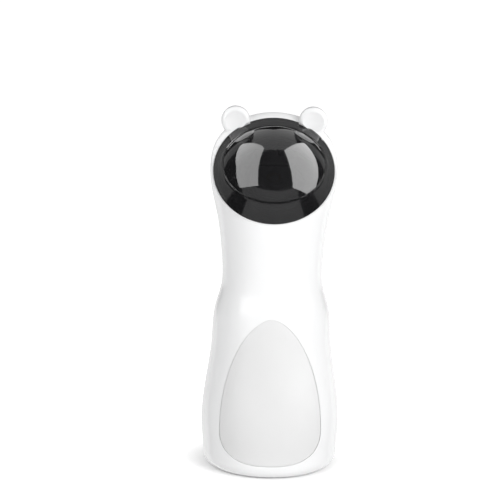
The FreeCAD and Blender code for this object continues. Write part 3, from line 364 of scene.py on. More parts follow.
shellCuts = {
    "baseMouth": 35.0, "baseTop": 3.4, "seam": 0.07,
    "bossRadius": 3.3, "headHole": 2.25, "seat": 13.0, "screwHole": 1.06,
    "bosses": ((-26.0, 76.0), (26.0, 76.0), (-20.5, 134.0), (20.5, 134.0)),
    # half width, lowest height, height, corner and depth to start from
    "openings": ((4.3, 84.0, 3.9, 0.9, 26), (4.0, 96.2, 3.0, 0.6, 28)),
    "lampRadius": 1.35, "lampSpot": (8.0, 85.95),
    "lugs": ((-26.8, 40.0), (26.8, 40.0)), "lugRadius": 2.6, "lugStart": 23.45,
    "tongueLow": (-4, 34.7, 5.0), "tongueHigh": (4, 37.5, 21.0), "footTop": 10.2, "tongueHole": 16.5,
}

door = {"half": 23.2, "low": 11.0, "high": 69.0, "corner": 3.0, "gap": 0.15, "wall": 1.8, "edge": 0.35,
        "thumbRadius": 9.0, "thumbSpot": (0, 47.1, 59.5), "bossRadius": 3.2, "bossStart": 37.8, "seat": 39.4,
        "screwHole": 1.15, "headHole": 2.25}


def roundedOutline(half, low, high, corner, grow=0.0, perCorner=14):
    # four quarter circles joined by the straight sides
    half, low, high, corner = half + grow, low - grow, high + grow, corner + grow
    turn = np.linspace(0, math.pi / 2, perCorner)
    spots = []
    for x, z, start in ((half - corner, high - corner, 0), (-half + corner, high - corner, 90),
                        (-half + corner, low + corner, 180), (half - corner, low + corner, 270)):
        angle = turn + math.radians(start)
        spots.append(np.stack([x + corner * np.cos(angle), z + corner * np.sin(angle)], -1))
    return np.concatenate(spots)


belly = {"halfWidth": 30.9, "middle": 31.5, "top": 99.3, "bottom": 9.0, "upperPower": 1.8, "lowerPower": 2.9,
         "sink": 0.4, "thickness": 0.9, "gap": 0.08, "floorGap": 0.12, "edge": 0.25,
         "pegs": ((0.0, 84.0), (-19.0, 45.0), (19.0, 45.0), (0.0, 20.0)), "pegRadius": 1.4, "pegLength": 2.4}


def eggOutline(grow=0.0, samples=260):
    # two superellipse halves that meet at the widest height
    wide, middle = belly["halfWidth"] + grow, belly["middle"]
    above, below = belly["top"] - middle + grow, middle - belly["bottom"] + grow
    upper, lower = belly["upperPower"], belly["lowerPower"]
    spots = []
    for share in (0.0, 0.16, 0.34, 0.52, 0.70, 0.85, 0.955, 1.0):
        spots.append((wide * share, middle + above * (1 - share ** upper) ** (1 / upper)))
    for share in (0.965, 0.86, 0.68, 0.46, 0.22, 0.0):
        spots.append((wide * share, middle - below * (1 - share ** lower) ** (1 / lower)))
    spots += [(-x, z) for x, z in reversed(spots[1:-1])]
    return smoothThrough(spots, samples, closed=True)


def lathed(profile, columns=192, turn=0.01):
    # a closed solid of revolution from its outline; both ends lie on the axis
    profile = np.asarray(profile, float)
    return wrappedGrid(lathe(profile[1:-1], columns, turn), (0, 0, profile[0][1]), (0, 0, profile[-1][1]))


def insetForm(inset, low, mouth=()):
    # the body's outline moved inwards, from low upwards; a mouth is the outline below that
    line = bodyOutline(inset, 320)
    line = line[line[:, 1] > low + 0.3]
    foot = radiusAt(low, inset)
    start = [*mouth, (foot, low + 0.01)] if mouth else [(0, low), (foot, low)]
    return lathed([*start, *line.tolist(), (0, line[-1][1] + 0.01)])


def onSeat(solid):
    return leaned(solid[0], visorSeat["rimTilt"], visorSeat["rimSpot"]), solid[1]


outer = makePiece("outerForm", *outerForm())
for side in (-1, 1):
    combined("outerForm", outer, [("UNION", earForm(side))])
print("outer form ready:", len(outer.data.polygons), "faces")

mouth, baseTop = shellCuts["baseMouth"], shellCuts["baseTop"]
cavity = makePiece("cavity", *insetForm(outline["wall"], baseTop, [(0, -5), (mouth, -5), (mouth, baseTop)]))
frontOfBezel = onSeat(boxSolid((-90, -90, -outline["wall"]), (90, 90, 90)))
combined("cavity", cavity, [("DIFFERENCE", frontOfBezel)])
openingRod = onSeat(rodSolid(visorSeat["opening"], -outline["wall"] - 1, 8, 160))

hollow = combined("hollow", copied(outer), [("DIFFERENCE", cavity), ("DIFFERENCE", openingRod)])
print("hollow form ready")


def halfShell(name, low, high, tools):
    return combined(name, copied(hollow), [("INTERSECT", boxSolid((-90, low, -20), (90, high, 260)))] + tools)


recess = makePiece("recess", *prismSolid(eggOutline(belly["gap"]), -beyond, -5))
recessFloor = insetForm(belly["sink"] + belly["thickness"] + belly["floorGap"], 2.0)
combined("recess", recess, [("DIFFERENCE", recessFloor)])
frontShell = halfShell("frontShell", -90, -shellCuts["seam"], [("DIFFERENCE", recess)])
print("front shell ready:", len(frontShell.data.polygons))

rearTools = [studIn(outer, shellCuts["bossRadius"], shellCuts["seam"], x, z) for x, z in shellCuts["bosses"]]
for x, z in shellCuts["bosses"]:
    rearTools.append(drill(shellCuts["headHole"], shellCuts["seat"], beyond, x, z))
    rearTools.append(drill(shellCuts["screwHole"], -2, 40, x, z))
for x, z in shellCuts["lugs"]:
    rearTools.append(studIn(outer, shellCuts["lugRadius"], shellCuts["lugStart"], x, z))
    rearTools.append(drill(shellCuts["screwHole"], 20, 27.9, x, z))
window = roundedOutline(door["half"], door["low"], door["high"], door["corner"], door["gap"])
rearTools.append(("DIFFERENCE", prismSolid(window, 1.0, beyond)))
for half, low, tall, corner, start in shellCuts["openings"]:
    opening = roundedOutline(half, low, low + tall, corner)
    rearTools.append(("DIFFERENCE", prismSolid(opening, start, beyond)))
rearTools.append(drill(shellCuts["lampRadius"], 26, beyond, *shellCuts["lampSpot"]))
footLow, footHigh = shellCuts["tongueLow"], shellCuts["tongueHigh"]
tongueFoot = makePiece("tongueFoot", *boxSolid(footLow, (footHigh[0], beyond, shellCuts["footTop"])))
combined("tongueFoot", tongueFoot, [("INTERSECT", outer)])
rearTools.append(("UNION", boxSolid(footLow, footHigh)))
rearTools.append(("UNION", tongueFoot))
rearTools.append(drill(shellCuts["screwHole"], 30, 38, 0, shellCuts["tongueHole"]))
rearShell = halfShell("rearShell", shellCuts["seam"], 90, rearTools)
print("rear shell ready:", len(rearShell.data.polygons))


# ---- belly panel and battery door

def patchForm(curve, side, frontInset, backInset, edge, rings=44):
    # the outline shrunk towards its middle fills the front; near its edge the front drops by a
    # quarter round; y is the body's circle at that height: side * sqrt(radius^2 - x^2)
    middle = np.array([0.0, (curve[:, 1].min() + curve[:, 1].max()) / 2])
    reach = np.linalg.norm(curve - middle, axis=1)[:, None]

    def row(share, inset, drop=0.0):
        x, z = (middle + (curve - middle) * share).T
        return np.stack([x, side * (np.sqrt(radiusAt(z, inset) ** 2 - x ** 2) - drop), z], -1)

    rounding = np.linspace(0, math.pi / 2, 7)[1:]
    flat = 1 - edge / reach
    shares = np.linspace(0, 1, rings)[1:]
    front = [row(flat * share, frontInset) for share in shares]
    front += [row(1 - edge * (1 - math.sin(turn)) / reach, frontInset, edge * (1 - math.cos(turn)))
              for turn in rounding]
    back = [row(share, backInset) for share in shares[::-1]]
    rows = np.stack(front + back)
    ends = [(0, side * radiusAt(middle[1], inset), middle[1]) for inset in (frontInset, backInset)]
    return wrappedGrid(rows, *ends)


pegEnd = insetForm(belly["sink"] + belly["thickness"] + belly["pegLength"], -5.0)
pegRoot = insetForm(belly["sink"] + belly["thickness"] / 2, 2.0)
bellyTools = []
for x, z in belly["pegs"]:
    peg = makePiece("peg", *alongY(rodSolid(belly["pegRadius"], -beyond, -10), (x, 0, z)))
    combined("peg", peg, [("INTERSECT", pegRoot), ("DIFFERENCE", pegEnd)])
    bellyTools.append(("UNION", peg))
panelForm = patchForm(eggOutline(0.0), -1, belly["sink"], belly["sink"] + belly["thickness"], belly["edge"])
bellyPanel = combined("bellyPanel", panelForm, bellyTools)
print("belly panel ready:", len(bellyPanel.data.polygons))


def ballSolid(radius, spot, columns=96, rows=48):
    # radius sin(a) from the axis at height -radius cos(a)
    turn = np.linspace(0, math.pi, rows + 1)[1:-1]
    points = lathe(np.stack([radius * np.sin(turn), -radius * np.cos(turn)], -1), columns)
    vertices, faces = wrappedGrid(points, (0, 0, -radius), (0, 0, radius))
    return vertices + np.array(spot), faces


doorCurve = roundedOutline(door["half"], door["low"], door["high"], door["corner"], 0.0, 24)
doorForm = patchForm(doorCurve, 1, 0.0, door["wall"], door["edge"])
doorTools = [
    ("DIFFERENCE", ballSolid(door["thumbRadius"], door["thumbSpot"])),
    studIn(outer, door["bossRadius"], door["bossStart"], 0, shellCuts["tongueHole"]),
    drill(door["screwHole"], 30, beyond, 0, shellCuts["tongueHole"]),
    drill(door["headHole"], door["seat"], beyond, 0, shellCuts["tongueHole"]),
]
batteryDoor = combined("batteryDoor", doorForm, doorTools)
print("battery door ready:", len(batteryDoor.data.polygons))


# ---- visor

visor = {"domeSpot": (0, -3.3, 174.9), "domeTilt": 38.0, "radius": 37.4, "ringHeight": 21.0, "wall": 1.8,
         "swellRadius": 32.55, "swellSpot": (0, 0.22, 7.06), "swellTilt": 40.64, "step": 0.4, "notch": 0.8,
         "spread": 1.012, "gasket": 0.5, "spigotRadius": 35.25, "spigotInner": 34.05, "spigotDepth": 2.0,
         "spigotEdge": 0.2, "grooveWidth": 0.3, "columns": 224}


def tiltedCircle(radius, height, tilt, spot):
    # a circle at one height above a leaning plane
    return leaned(lathe([(radius, height)], visor["columns"])[0], tilt, spot)


def rimCircle(radius, height):
    return tiltedCircle(radius, height, visorSeat["rimTilt"], visorSeat["rimSpot"])


def domeCircle(radius, turn):
    # radius sin(turn) at height radius cos(turn) along the dome's axis
    across, along = radius * math.sin(turn), radius * math.cos(turn)
    return tiltedCircle(across, along, visor["domeTilt"], visor["domeSpot"])


def collarEdge(rim, swell, ring):
    # the slope from the rim to the swell circle, carried on until it stands beside the ring
    slope = swell - rim
    reach = np.linalg.norm(slope, axis=1, keepdims=True)
    return rim + slope * (1 + (np.linalg.norm(ring - swell, axis=1, keepdims=True) - visor["step"]) / reach)


def swellCircle(inset):
    x, y, z = visor["swellSpot"]
    spot = leaned(np.array([x, y, z - inset * 0.7]), visorSeat["rimTilt"], visorSeat["rimSpot"])
    return tiltedCircle(visor["swellRadius"] - inset, 0, visor["swellTilt"], spot)


def visorForm():
    radius, inner = visor["radius"], visor["radius"] - visor["wall"]
    ringTurn = math.acos(visor["ringHeight"] / radius)
    capTurn = ringTurn - visor["grooveWidth"] / radius
    innerTurn = math.acos((visor["ringHeight"] - 0.8 * visor["wall"]) / inner)
    rimRadius, spigot, spigotInner = visorSeat["rimRadius"], visor["spigotRadius"], visor["spigotInner"]
    low, gasket, soft = -visor["spigotDepth"], visor["gasket"], visor["spigotEdge"]
    rim = rimCircle(rimRadius, gasket)
    rows = [domeCircle(radius, turn) for turn in np.linspace(0, capTurn, 64)[1:]]
    # a narrow notch along the dome's axis parts the cap from the collar, and runs in under the collar's edge
    edge = collarEdge(rim, swellCircle(0), domeCircle(radius, ringTurn))
    sink = leaned(np.array([0, 0, -visor["notch"]]), visor["domeTilt"], (0, 0, 0))
    middle = edge.mean(axis=0)
    rows += [rows[-1] + sink, middle + (edge - middle) * visor["spread"] + sink, edge]
    rows += [rim + (edge - rim) * share for share in (0.985, 0.8, 0.6, 0.4, 0.2, 0.02)]
    rows += [rimCircle(*spot) for spot in ((rimRadius - soft, gasket), (spigot, gasket), (spigot, low + soft),
                                           (spigot - soft, low), (spigotInner, low))]
    innerRing = domeCircle(inner, innerTurn)
    innerRim, innerSwell = rimCircle(spigotInner, low - 0.5), swellCircle(visor["wall"])
    rows += [innerRim + (innerSwell - innerRim) * share for share in (0.08, 0.35, 0.65, 0.96)]
    rows += [innerSwell + (innerRing - innerSwell) * share for share in (0.1, 0.5, 1)]
    rows += [domeCircle(inner, turn) for turn in np.linspace(innerTurn, 0, 52)[1:-1]]
    poles = [leaned((0, 0, reach), visor["domeTilt"], visor["domeSpot"]) for reach in (radius, inner)]
    return wrappedGrid(np.stack(rows), *poles)


visorDome = makePiece("visorDome", *visorForm(), sharpAngle=32)
print("visor ready:", len(visorDome.data.polygons))


# ---- screws

screwForm = {"radius": 1.0, "root": 0.82, "neck": 0.95, "pitch": 0.7, "head": 2.1, "headThick": 1.4,
             "columns": 36, "recessWidth": 0.62, "recessSpan": 2.3, "recessDepth": 0.9}


def screwSolid(length):
    # a wavy sleeve: the radius swings between root and crest with height over pitch less the turn
    columns = screwForm["columns"]
    angle = np.linspace(0, 2 * math.pi, columns, endpoint=False)
    heights = np.arange(0.8, length - 0.5, screwForm["pitch"] / 8)
    phase = (heights[:, None] / screwForm["pitch"] - angle[None] / (2 * math.pi)) % 1
    crest = screwForm["radius"] - (screwForm["radius"] - screwForm["root"]) * np.abs(2 * phase - 1)
    along = np.repeat(heights[:, None], columns, 1)
    thread = np.stack([crest * np.cos(angle), crest * np.sin(angle), along], -1)
    head, thick, neck = screwForm["head"], screwForm["headThick"], screwForm["neck"]
    tip = lathe([(0.35, 0.0), (0.7, 0.45)], columns)
    seat = [(neck, length - 0.3), (neck, length), (head - 0.1, length), (head, length + 0.1)]
    turns = np.linspace(1.57, 0.12, 12)
    dome = [(head * math.sin(a), length + thick * (0.45 + 0.55 * math.cos(a))) for a in turns]
    top = lathe(seat + dome, columns)
    return wrappedGrid(np.concatenate([tip, thread, top]), (0, 0, -0.02), (0, 0, length + thick))


def screwPiece(name, length, spots, heading):
    # one screw with a cross recess, then copies turned so that the head looks along the heading
    half, arm = screwForm["recessWidth"] / 2, screwForm["recessSpan"] / 2
    floor = length + screwForm["headThick"] - screwForm["recessDepth"]
    cross = [("DIFFERENCE", boxSolid((-half, -arm, floor), (half, arm, length + 3))),
             ("DIFFERENCE", boxSolid((-arm, -half, floor), (arm, half, length + 3)))]
    one = combined(name, screwSolid(length), cross)
    points = np.array([vertex.co for vertex in one.data.vertices]) / mm
    faces = [list(face.vertices) for face in one.data.polygons]
    bpy.data.objects.remove(one)
    turn = np.array(Vector((0, 0, 1)).rotation_difference(Vector(heading)).to_matrix())
    allPoints, allFaces = [], []
    for index, spot in enumerate(spots):
        allPoints.append(points @ turn.T + np.array(spot))
        allFaces += [[corner + index * len(points) for corner in face] for face in faces]
    return makePiece(name, np.concatenate(allPoints), allFaces, sharpAngle=35)


mechanism = {"tilt": 38.0, "spot": (0, -3.3, 176.3), "postRing": 25.6, "postTurns": (10, 100, 170),
             "chassisScrews": ((27.0, -9.0), (-27.0, -9.0), (-16.5, -23.0)), "idlerReach": 18.65,
             "idlerTurn": -60.0, "motorReach": 13.85, "motorScrew": 5.2, "motorScrewLow": -17.1}


def onDome(spots):
    return [leaned(spot, mechanism["tilt"], mechanism["spot"]) for spot in spots]


def onCircle(radius, turn):
    return radius * math.cos(math.radians(turn)), radius * math.sin(math.radians(turn))


def joinedWords(name):
    # two_words becomes twoWords
    first, *rest = name.split("_")
    return first + "".join(word.title() for word in rest)


domeAxis = leaned((0, 0, 1.0), mechanism["tilt"], (0, 0, 0))
lowRing, lowTurns = 30.8, (-135, -45, 10, 170)
baseSpots = [(*onCircle(lowRing, turn), 10.5) for turn in lowTurns]
postSpots = [(*onCircle(mechanism["postRing"], turn), -6) for turn in mechanism["postTurns"]]
idlerX, idlerY = onCircle(mechanism["idlerReach"], mechanism["idlerTurn"])
motorSpots = [(idlerX - mechanism["motorReach"], idlerY + mechanism["motorScrew"] * side,
               mechanism["motorScrewLow"]) for side in (-1, 1)]
# length, tips and the way that the heads look
screwSets = {
    "door_screw": (7.5, [(0, 31.9, shellCuts["tongueHole"])], (0, 1, 0)),
    "base_screws": (8.0, baseSpots, (0, 0, -1)),
    "shell_screws": (21.0, [(x, -8.0, z) for x, z in shellCuts["bosses"]], (0, 1, 0)),
    "tray_screws": (5.4, [(x, 27.25, z) for x, z in shellCuts["lugs"]], (0, -1, 0)),
    "board_screws": (4.4, [(-9.8, 29.6, 101.2), (9.8, 29.6, 90.0)], (0, -1, 0)),
    "chassis_screws": (7.0, onDome([(x, y, -7.0) for x, y in mechanism["chassisScrews"]]), domeAxis),
    "gear_plate_screws": (6.0, onDome(postSpots), domeAxis),
    "motor_screws": (4.4, onDome(motorSpots), domeAxis),
}
screwPieces = {node: screwPiece(joinedWords(node), *screws) for node, screws in screwSets.items()}
print("screws ready:", sum(len(piece.data.polygons) for piece in screwPieces.values()), "faces")


# ---- base plate and rubber foot

base = {"radius": 34.85, "low": 1.0, "top": 3.4, "grooveTop": 1.8, "grooveIn": 26.85, "grooveOut": 33.15,
        "bevel": 0.35, "screwPass": 1.15, "headPass": 2.25, "seat": 2.5, "through": 9,
        "footIn": 27.0, "footOut": 33.0, "footTop": 1.6, "footRound": 0.55}


def ringForm(profile, columns=240):
    # a closed profile swept round Z: rows and columns both close
    points = lathe(profile, columns)
    rows = len(points)
    index = np.arange(rows * columns).reshape(rows, columns)
    ahead = np.roll(index, -1, axis=1)
    faces = np.stack([index, ahead, np.roll(ahead, -1, axis=0), np.roll(index, -1, axis=0)], -1)
    return points.reshape(-1, 3), faces.reshape(-1, 4).tolist()


def basePlateForm():
    low, top, radius, bevel = base["low"], base["top"], base["radius"], base["bevel"]
    grooveIn, grooveOut, grooveTop = base["grooveIn"], base["grooveOut"], base["grooveTop"]
    profile = [(0, low), (4.0, low), (15.0, low), (grooveIn, low), (grooveIn, grooveTop),
               (grooveOut, grooveTop), (grooveOut, low), (radius - bevel, low), (radius, low + bevel),
               (radius, top - bevel), (radius - bevel, top), (20.0, top), (8.0, top), (0, top)]
    return lathed(profile, 240)


def footForm():
    inner, outerEdge, top, soft = base["footIn"], base["footOut"], base["footTop"], base["footRound"]
    turn = np.linspace(0, math.pi / 2, 7)
    profile = [(outerEdge - soft + soft * math.sin(a), soft - soft * math.cos(a)) for a in turn]
    profile += [(outerEdge, top), (inner, top)]
    profile += [(inner + soft - soft * math.sin(a), soft - soft * math.cos(a)) for a in turn[::-1]]
    return ringForm(profile)


plateTools, footTools = [], []
baseBores = ((base["screwPass"], base["through"], plateTools), (base["headPass"], base["seat"], plateTools),
             (base["headPass"], base["through"], footTools))
for x, y, _ in baseSpots:
    for radius, high, tools in baseBores:
        rod, faces = rodSolid(radius, -2, high)
        tools.append(("DIFFERENCE", (rod + np.array([x, y, 0]), faces)))
basePlate = combined("basePlate", basePlateForm(), plateTools)
rubberFoot = combined("rubberFoot", footForm(), footTools, 40)
print("base ready")

for helper in [item for item in scene.objects if item.name.split(".")[0] in helperNames]:
    bpy.data.objects.remove(helper)


# ---- finishes

def feed(tree, source, target):
    # a plain value is set, a socket is linked
    if isinstance(source, (int, float, tuple)):
        target.default_value = source
    else:
        tree.links.new(source, target)


def noiseNode(tree, vector, scale, detail):
    noise = tree.nodes.new("ShaderNodeTexNoise")
    for label, source in (("Vector", vector), ("Scale", scale), ("Detail", detail)):
        feed(tree, source, noise.inputs[label])
    return noise.outputs["Fac"]


def mathNode(tree, operation, *sources):
    sums = tree.nodes.new("ShaderNodeMath")
    sums.operation = operation
    for place, source in enumerate(sources):
        feed(tree, source, sums.inputs[place])
    return sums.outputs[0]


def rangeNode(tree, value, low, high, fromLow=0.3, fromHigh=0.7):
    spread = tree.nodes.new("ShaderNodeMapRange")
    for label, source in (("Value", value), ("From Min", fromLow), ("From Max", fromHigh), ("To Min", low),
                          ("To Max", high)):
        feed(tree, source, spread.inputs[label])
    return spread.outputs["Result"]


def mixedColour(tree, factor, first, second):
    mix = tree.nodes.new("ShaderNodeMix")
    mix.data_type = "RGBA"
    for place, source in ((0, factor), (6, first), (7, second)):
        tree.links.new(source, mix.inputs[place])
    return mix.outputs[2]


skinInputs = (("Vector", "Vector", (0, 0, 0)), ("Colour", "Color", (1, 1, 1, 1)),
              ("Shade", "Color", (1, 1, 1, 1)), ("Rough Low", "Float", 0.2), ("Rough High", "Float", 0.3),
              ("Grain", "Float", 1000.0), ("Flow", "Float", 40.0))
skinOutputs = (("Colour", "Color"), ("Roughness", "Float"), ("Height", "Float"))


def emptySkin(name):
    group = bpy.data.node_groups.new(name, "ShaderNodeTree")
    for label, kind, value in skinInputs:
        socket = group.interface.new_socket(label, in_out="INPUT", socket_type="NodeSocket" + kind)
        socket.default_value = value
    for label, kind in skinOutputs:
        group.interface.new_socket(label, in_out="OUTPUT", socket_type="NodeSocket" + kind)
    return group, group.nodes.new("NodeGroupInput").outputs, group.nodes.new("NodeGroupOutput").inputs


def buildSkin(name, grainStretch, grainDetail, flowDetail, metal):
    # slow flow patches turn the colour; the gloss follows them, or on metal the fine marks
    group, given, made = emptySkin(name)
    fine = given["Vector"]
    if metal:
        squeeze = group.nodes.new("ShaderNodeMapping")
        squeeze.inputs["Scale"].default_value = (1.0, 1.0, grainStretch)
        group.links.new(given["Vector"], squeeze.inputs["Vector"])
        fine = squeeze.outputs["Vector"]
    marks = noiseNode(group, fine, given["Grain"], grainDetail)
    flow = noiseNode(group, given["Vector"], given["Flow"], flowDetail)
    patch = rangeNode(group, flow, 0.0, 1.0)
    rough = rangeNode(group, marks if metal else flow, given["Rough Low"], given["Rough High"])
    height = marks if metal else mathNode(group, "MULTIPLY_ADD", marks, 0.35, flow)
    colour = mixedColour(group, patch, given["Colour"], given["Shade"])
    for label, source in (("Colour", colour), ("Roughness", rough), ("Height", height)):
        group.links.new(source, made[label])
    return group


# moulded plastic has an even grain; metal has long marks, squeezed along Z
skins = {"moulded": buildSkin("mouldedSkin", 1.0, 3, 4, False),
         "metal": buildSkin("metalMarks", 0.06, 4, 3, True)}

# skin, colour, shade, roughness from and to, scales of grain and flow, bump height, and what else is set
finishes = {
    "white_shell": (
        "moulded", (0.89, 0.892, 0.895), (0.868, 0.87, 0.873), (0.15, 0.24), 420, 26, 6e-6, {"IOR": 1.4}),
    "belly_satin": (
        "moulded", (0.75, 0.75, 0.75), (0.727, 0.727, 0.727), (0.4, 0.5), 3200, 30, 1.4e-5, {}),
    "smoked_dome": (
        "moulded", (0.011, 0.011, 0.012), (0.016, 0.016, 0.017), (0.015, 0.05), 300, 18, 2e-6,
        {"Coat Weight": 1.0, "IOR": 1.58, "Alpha": 0.72}),
    "black_rubber": (
        "moulded", (0.018, 0.018, 0.018), (0.03, 0.03, 0.03), (0.62, 0.8), 2600, 60, 2.5e-5, {}),
    "black_plastic": (
        "moulded", (0.02, 0.02, 0.022), (0.03, 0.03, 0.032), (0.38, 0.55), 3000, 60, 1.5e-5, {}),
    "grey_plastic": (
        "moulded", (0.33, 0.33, 0.34), (0.28, 0.28, 0.29), (0.35, 0.48), 2400, 70, 1.2e-5, {}),
    "steel": (
        "metal", (0.6, 0.6, 0.61), (0.48, 0.48, 0.5), (0.2, 0.38), 2400, 300, 5e-6, {}),
    "motor_can": (
        "metal", (0.58, 0.58, 0.57), (0.46, 0.46, 0.45), (0.25, 0.42), 1600, 160, 5e-6, {}),
    "nickel": (
        "metal", (0.72, 0.69, 0.64), (0.62, 0.58, 0.52), (0.12, 0.26), 2600, 260, 3e-6, {}),
    "brass": (
        "metal", (0.78, 0.6, 0.28), (0.62, 0.45, 0.19), (0.18, 0.32), 2800, 300, 5e-6, {}),
    "gear_white": (
        "moulded", (0.83, 0.82, 0.78), (0.76, 0.75, 0.7), (0.3, 0.42), 1800, 90, 8e-6, {}),
    "chip_black": (
        "moulded", (0.018, 0.018, 0.019), (0.028, 0.028, 0.03), (0.45, 0.6), 5000, 200, 1e-5, {}),
    "clear_lens": (
        "moulded", (0.93, 0.95, 0.95), (0.9, 0.93, 0.93), (0.01, 0.05), 900, 120, 1e-6,
        {"Coat Weight": 0.6, "Alpha": 0.35}),
    "lamp_clear": (
        "moulded", (0.86, 0.9, 0.86), (0.8, 0.85, 0.8), (0.25, 0.4), 2000, 200, 6e-6, {"Alpha": 0.6}),
    "mirror_glass": (
        "metal", (0.9, 0.91, 0.92), (0.87, 0.88, 0.9), (0.005, 0.02), 300, 90, 1e-7, {}),
}


def newShader(name):
    material = bpy.data.materials.new(name)
    material.use_nodes = True
    tree = material.node_tree
    place = tree.nodes.new("ShaderNodeTexCoord").outputs["Object"]
    return material, tree, tree.nodes["Principled BSDF"], place


def skinNode(tree, place, kind, values):
    skin = tree.nodes.new("ShaderNodeGroup")
    skin.node_tree = skins[kind]
    for label, value in values.items():
        skin.inputs[label].default_value = value
    tree.links.new(place, skin.inputs["Vector"])
    return skin.outputs


def dress(tree, shader, colour, rough, height, distance):
    # the colour, the roughness and the bump of one shader
    bump = tree.nodes.new("ShaderNodeBump")
    bump.inputs["Distance"].default_value = distance
    tree.links.new(height, bump.inputs["Height"])
    tree.links.new(bump.outputs["Normal"], shader.inputs["Normal"])
    tree.links.new(colour, shader.inputs["Base Color"])
    tree.links.new(rough, shader.inputs["Roughness"])


def finishMaterial(name, finish):
    kind, colour, shade, (roughLow, roughHigh), grain, flow, distance, more = finish
    material, tree, shader, place = newShader(name)
    skin = skinNode(tree, place, kind, {"Colour": (*colour, 1), "Shade": (*shade, 1), "Rough Low": roughLow,
                                        "Rough High": roughHigh, "Grain": grain, "Flow": flow})
    dress(tree, shader, skin["Colour"], skin["Roughness"], skin["Height"], distance)
    for label, value in {"Metallic": float(kind == "metal"), "IOR": 1.5, **more}.items():
        shader.inputs[label].default_value = value
    return material


def cellMaterial():
    # a sleeve with a pale band near its top, bare steel past its ends: steps along Z
    material, tree, shader, place = newShader("cellWrap")
    parts = tree.nodes.new("ShaderNodeSeparateXYZ")
    tree.links.new(place, parts.inputs[0])
    low, high = [corner.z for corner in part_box("battery_cells")]
    ramp = tree.nodes.new("ShaderNodeValToRGB")
    ramp.color_ramp.interpolation = "CONSTANT"
    steel, sleeve, band = (0.62, 0.62, 0.61, 1), (0.055, 0.10, 0.15, 1), (0.60, 0.62, 0.62, 1)
    elements = ramp.color_ramp.elements
    elements[0].color = steel
    elements[1].position, elements[1].color = 0.012, sleeve
    for position, colour in ((0.74, band), (0.765, sleeve), (0.955, steel)):
        elements.new(position).color = colour
    tree.links.new(rangeNode(tree, parts.outputs["Z"], 0.0, 1.0, low, high), ramp.inputs["Fac"])
    skin = skinNode(tree, place, "moulded", {"Rough Low": 0.2, "Rough High": 0.34})
    dress(tree, shader, ramp.outputs["Color"], skin["Roughness"], skin["Height"], 8e-6)
    return material


def boardMaterial():
    # copper runs under green mask: the joints of a fine brick pattern, turned to lie in X and Z
    material, tree, shader, place = newShader("boardGreen")
    turn = tree.nodes.new("ShaderNodeMapping")
    turn.inputs["Rotation"].default_value = (math.radians(90), 0, 0)
    turn.inputs["Scale"].default_value = (1.0, 1.0, 0.45)
    tree.links.new(place, turn.inputs["Vector"])
    runs = tree.nodes.new("ShaderNodeTexBrick")
    for label, value in (("Scale", 260.0), ("Mortar Size", 0.035), ("Color1", (0.012, 0.10, 0.045, 1)),
                         ("Color2", (0.016, 0.13, 0.055, 1)), ("Mortar", (0.03, 0.22, 0.09, 1))):
        runs.inputs[label].default_value = value
    tree.links.new(turn.outputs["Vector"], runs.inputs["Vector"])
    skin = skinNode(tree, place, "moulded", {"Rough Low": 0.22, "Rough High": 0.36})
    dress(tree, shader, runs.outputs["Color"], skin["Roughness"], runs.outputs["Fac"], 2e-5)
    return material


materials = {name: finishMaterial(joinedWords(name), finish) for name, finish in finishes.items()}
materials["cell_wrap"] = cellMaterial()
materials["board_green"] = boardMaterial()

slotOf = {row["node"]: row["material_slot"] for row in frame["record"]["subparts"]}
newPieces = {"front_shell": frontShell, "rear_shell": rearShell, "belly_panel": bellyPanel,
             "battery_door": batteryDoor, "visor_dome": visorDome, "base_plate": basePlate,
             "rubber_foot": rubberFoot, **screwPieces}
for node, slotName in slotOf.items():
    piece = newPieces.get(node, nodes[node])
    if node in newPieces:
        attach(piece, body_of(nodes[node])[0])
        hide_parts(node)
    piece.data.materials.clear()
    piece.data.materials.append(materials[slotName])
print("finishes ready:", len(materials))


# ---- studio

studio = {
    "floorReach": 9.0, "floorColour": (0.95, 0.95, 0.95), "floorShade": 0.995, "floorFlow": 4.0,
    # camera glow painted on the floor near the object and far out; the near glow lightens the object's shadow
    "floorGlow": (0.15, 0.6), "glowReach": (0.034, 0.07), "worldFill": 0.5,
    "darkReach": 7.0, "darkLevel": 0.012, "darkStep": (7.5, 6),
    "heart": (0, -0.0033, 0.1749), "panelReach": 0.9,
    # a direction is the azimuth from -Y towards +X and the height, in degrees; corners and strength
    "panels": (
        (((-137, 37), (-91, 77), (-29, 11), (-65, 2), (-89, 27)), 3.4),
        (((65, 74), (139, 40), (97, 25), (71, -9), (35, 8), (40, 49)), 4.4),
    ),
    # a grey table: its far edge, then the azimuths of both sides at each height
    "tableEdge": ((-63, 11), (-40, 9), (-22, 6), (-7, 4), (9, 3), (22, 5), (36, 7), (49, 9)),
    "tableRows": ((-59, 45, -2), (-60, 47, -16), (-64, 63, -33), (-80, 78, -47), (-100, 90, -66),
                  (-120, 118, -86)),
    "tableGlow": 0.42,
    # a dim sheet overhead: both sides and the middle of each row, from the back to the front
    "lid": (((-168, 22), (-180, 37), (-191, 20)), ((-157, 40), (-180, 46), (-203, 40)),
            ((-147, 48), (-180, 56), (-213, 48)), ((-128, 54), (-180, 68), (-232, 54)),
            ((-110, 64), (-180, 86), (-250, 64)), ((-63, 74), (0, 83), (65, 74))),
    "lidGlow": 0.58,
    # the edges of a dim strip at the right, which is mirrored to the left
    "strip": (((96, -26), (106, -32)), ((104, -13), (120, -16)), ((112, 0), (130, -2)), ((118, 12), (138, 8)),
              ((121, 20), (143, 18)), ((122, 30), (148, 30)), ((133, 43), (147, 43))),
    "stripGlow": 0.3,
    # place, aim and power of each lamp
    "lamps": (((0.75, -0.9, 0.6), (0, 0, 0.11), 8.9), ((-0.85, -0.8, 0.4), (0, 0, 0.11), 3.5),
              ((0.1, 0.3, 1.2), (0, 0, 0.1), 0.6)),
    "lampSize": 0.8,
}


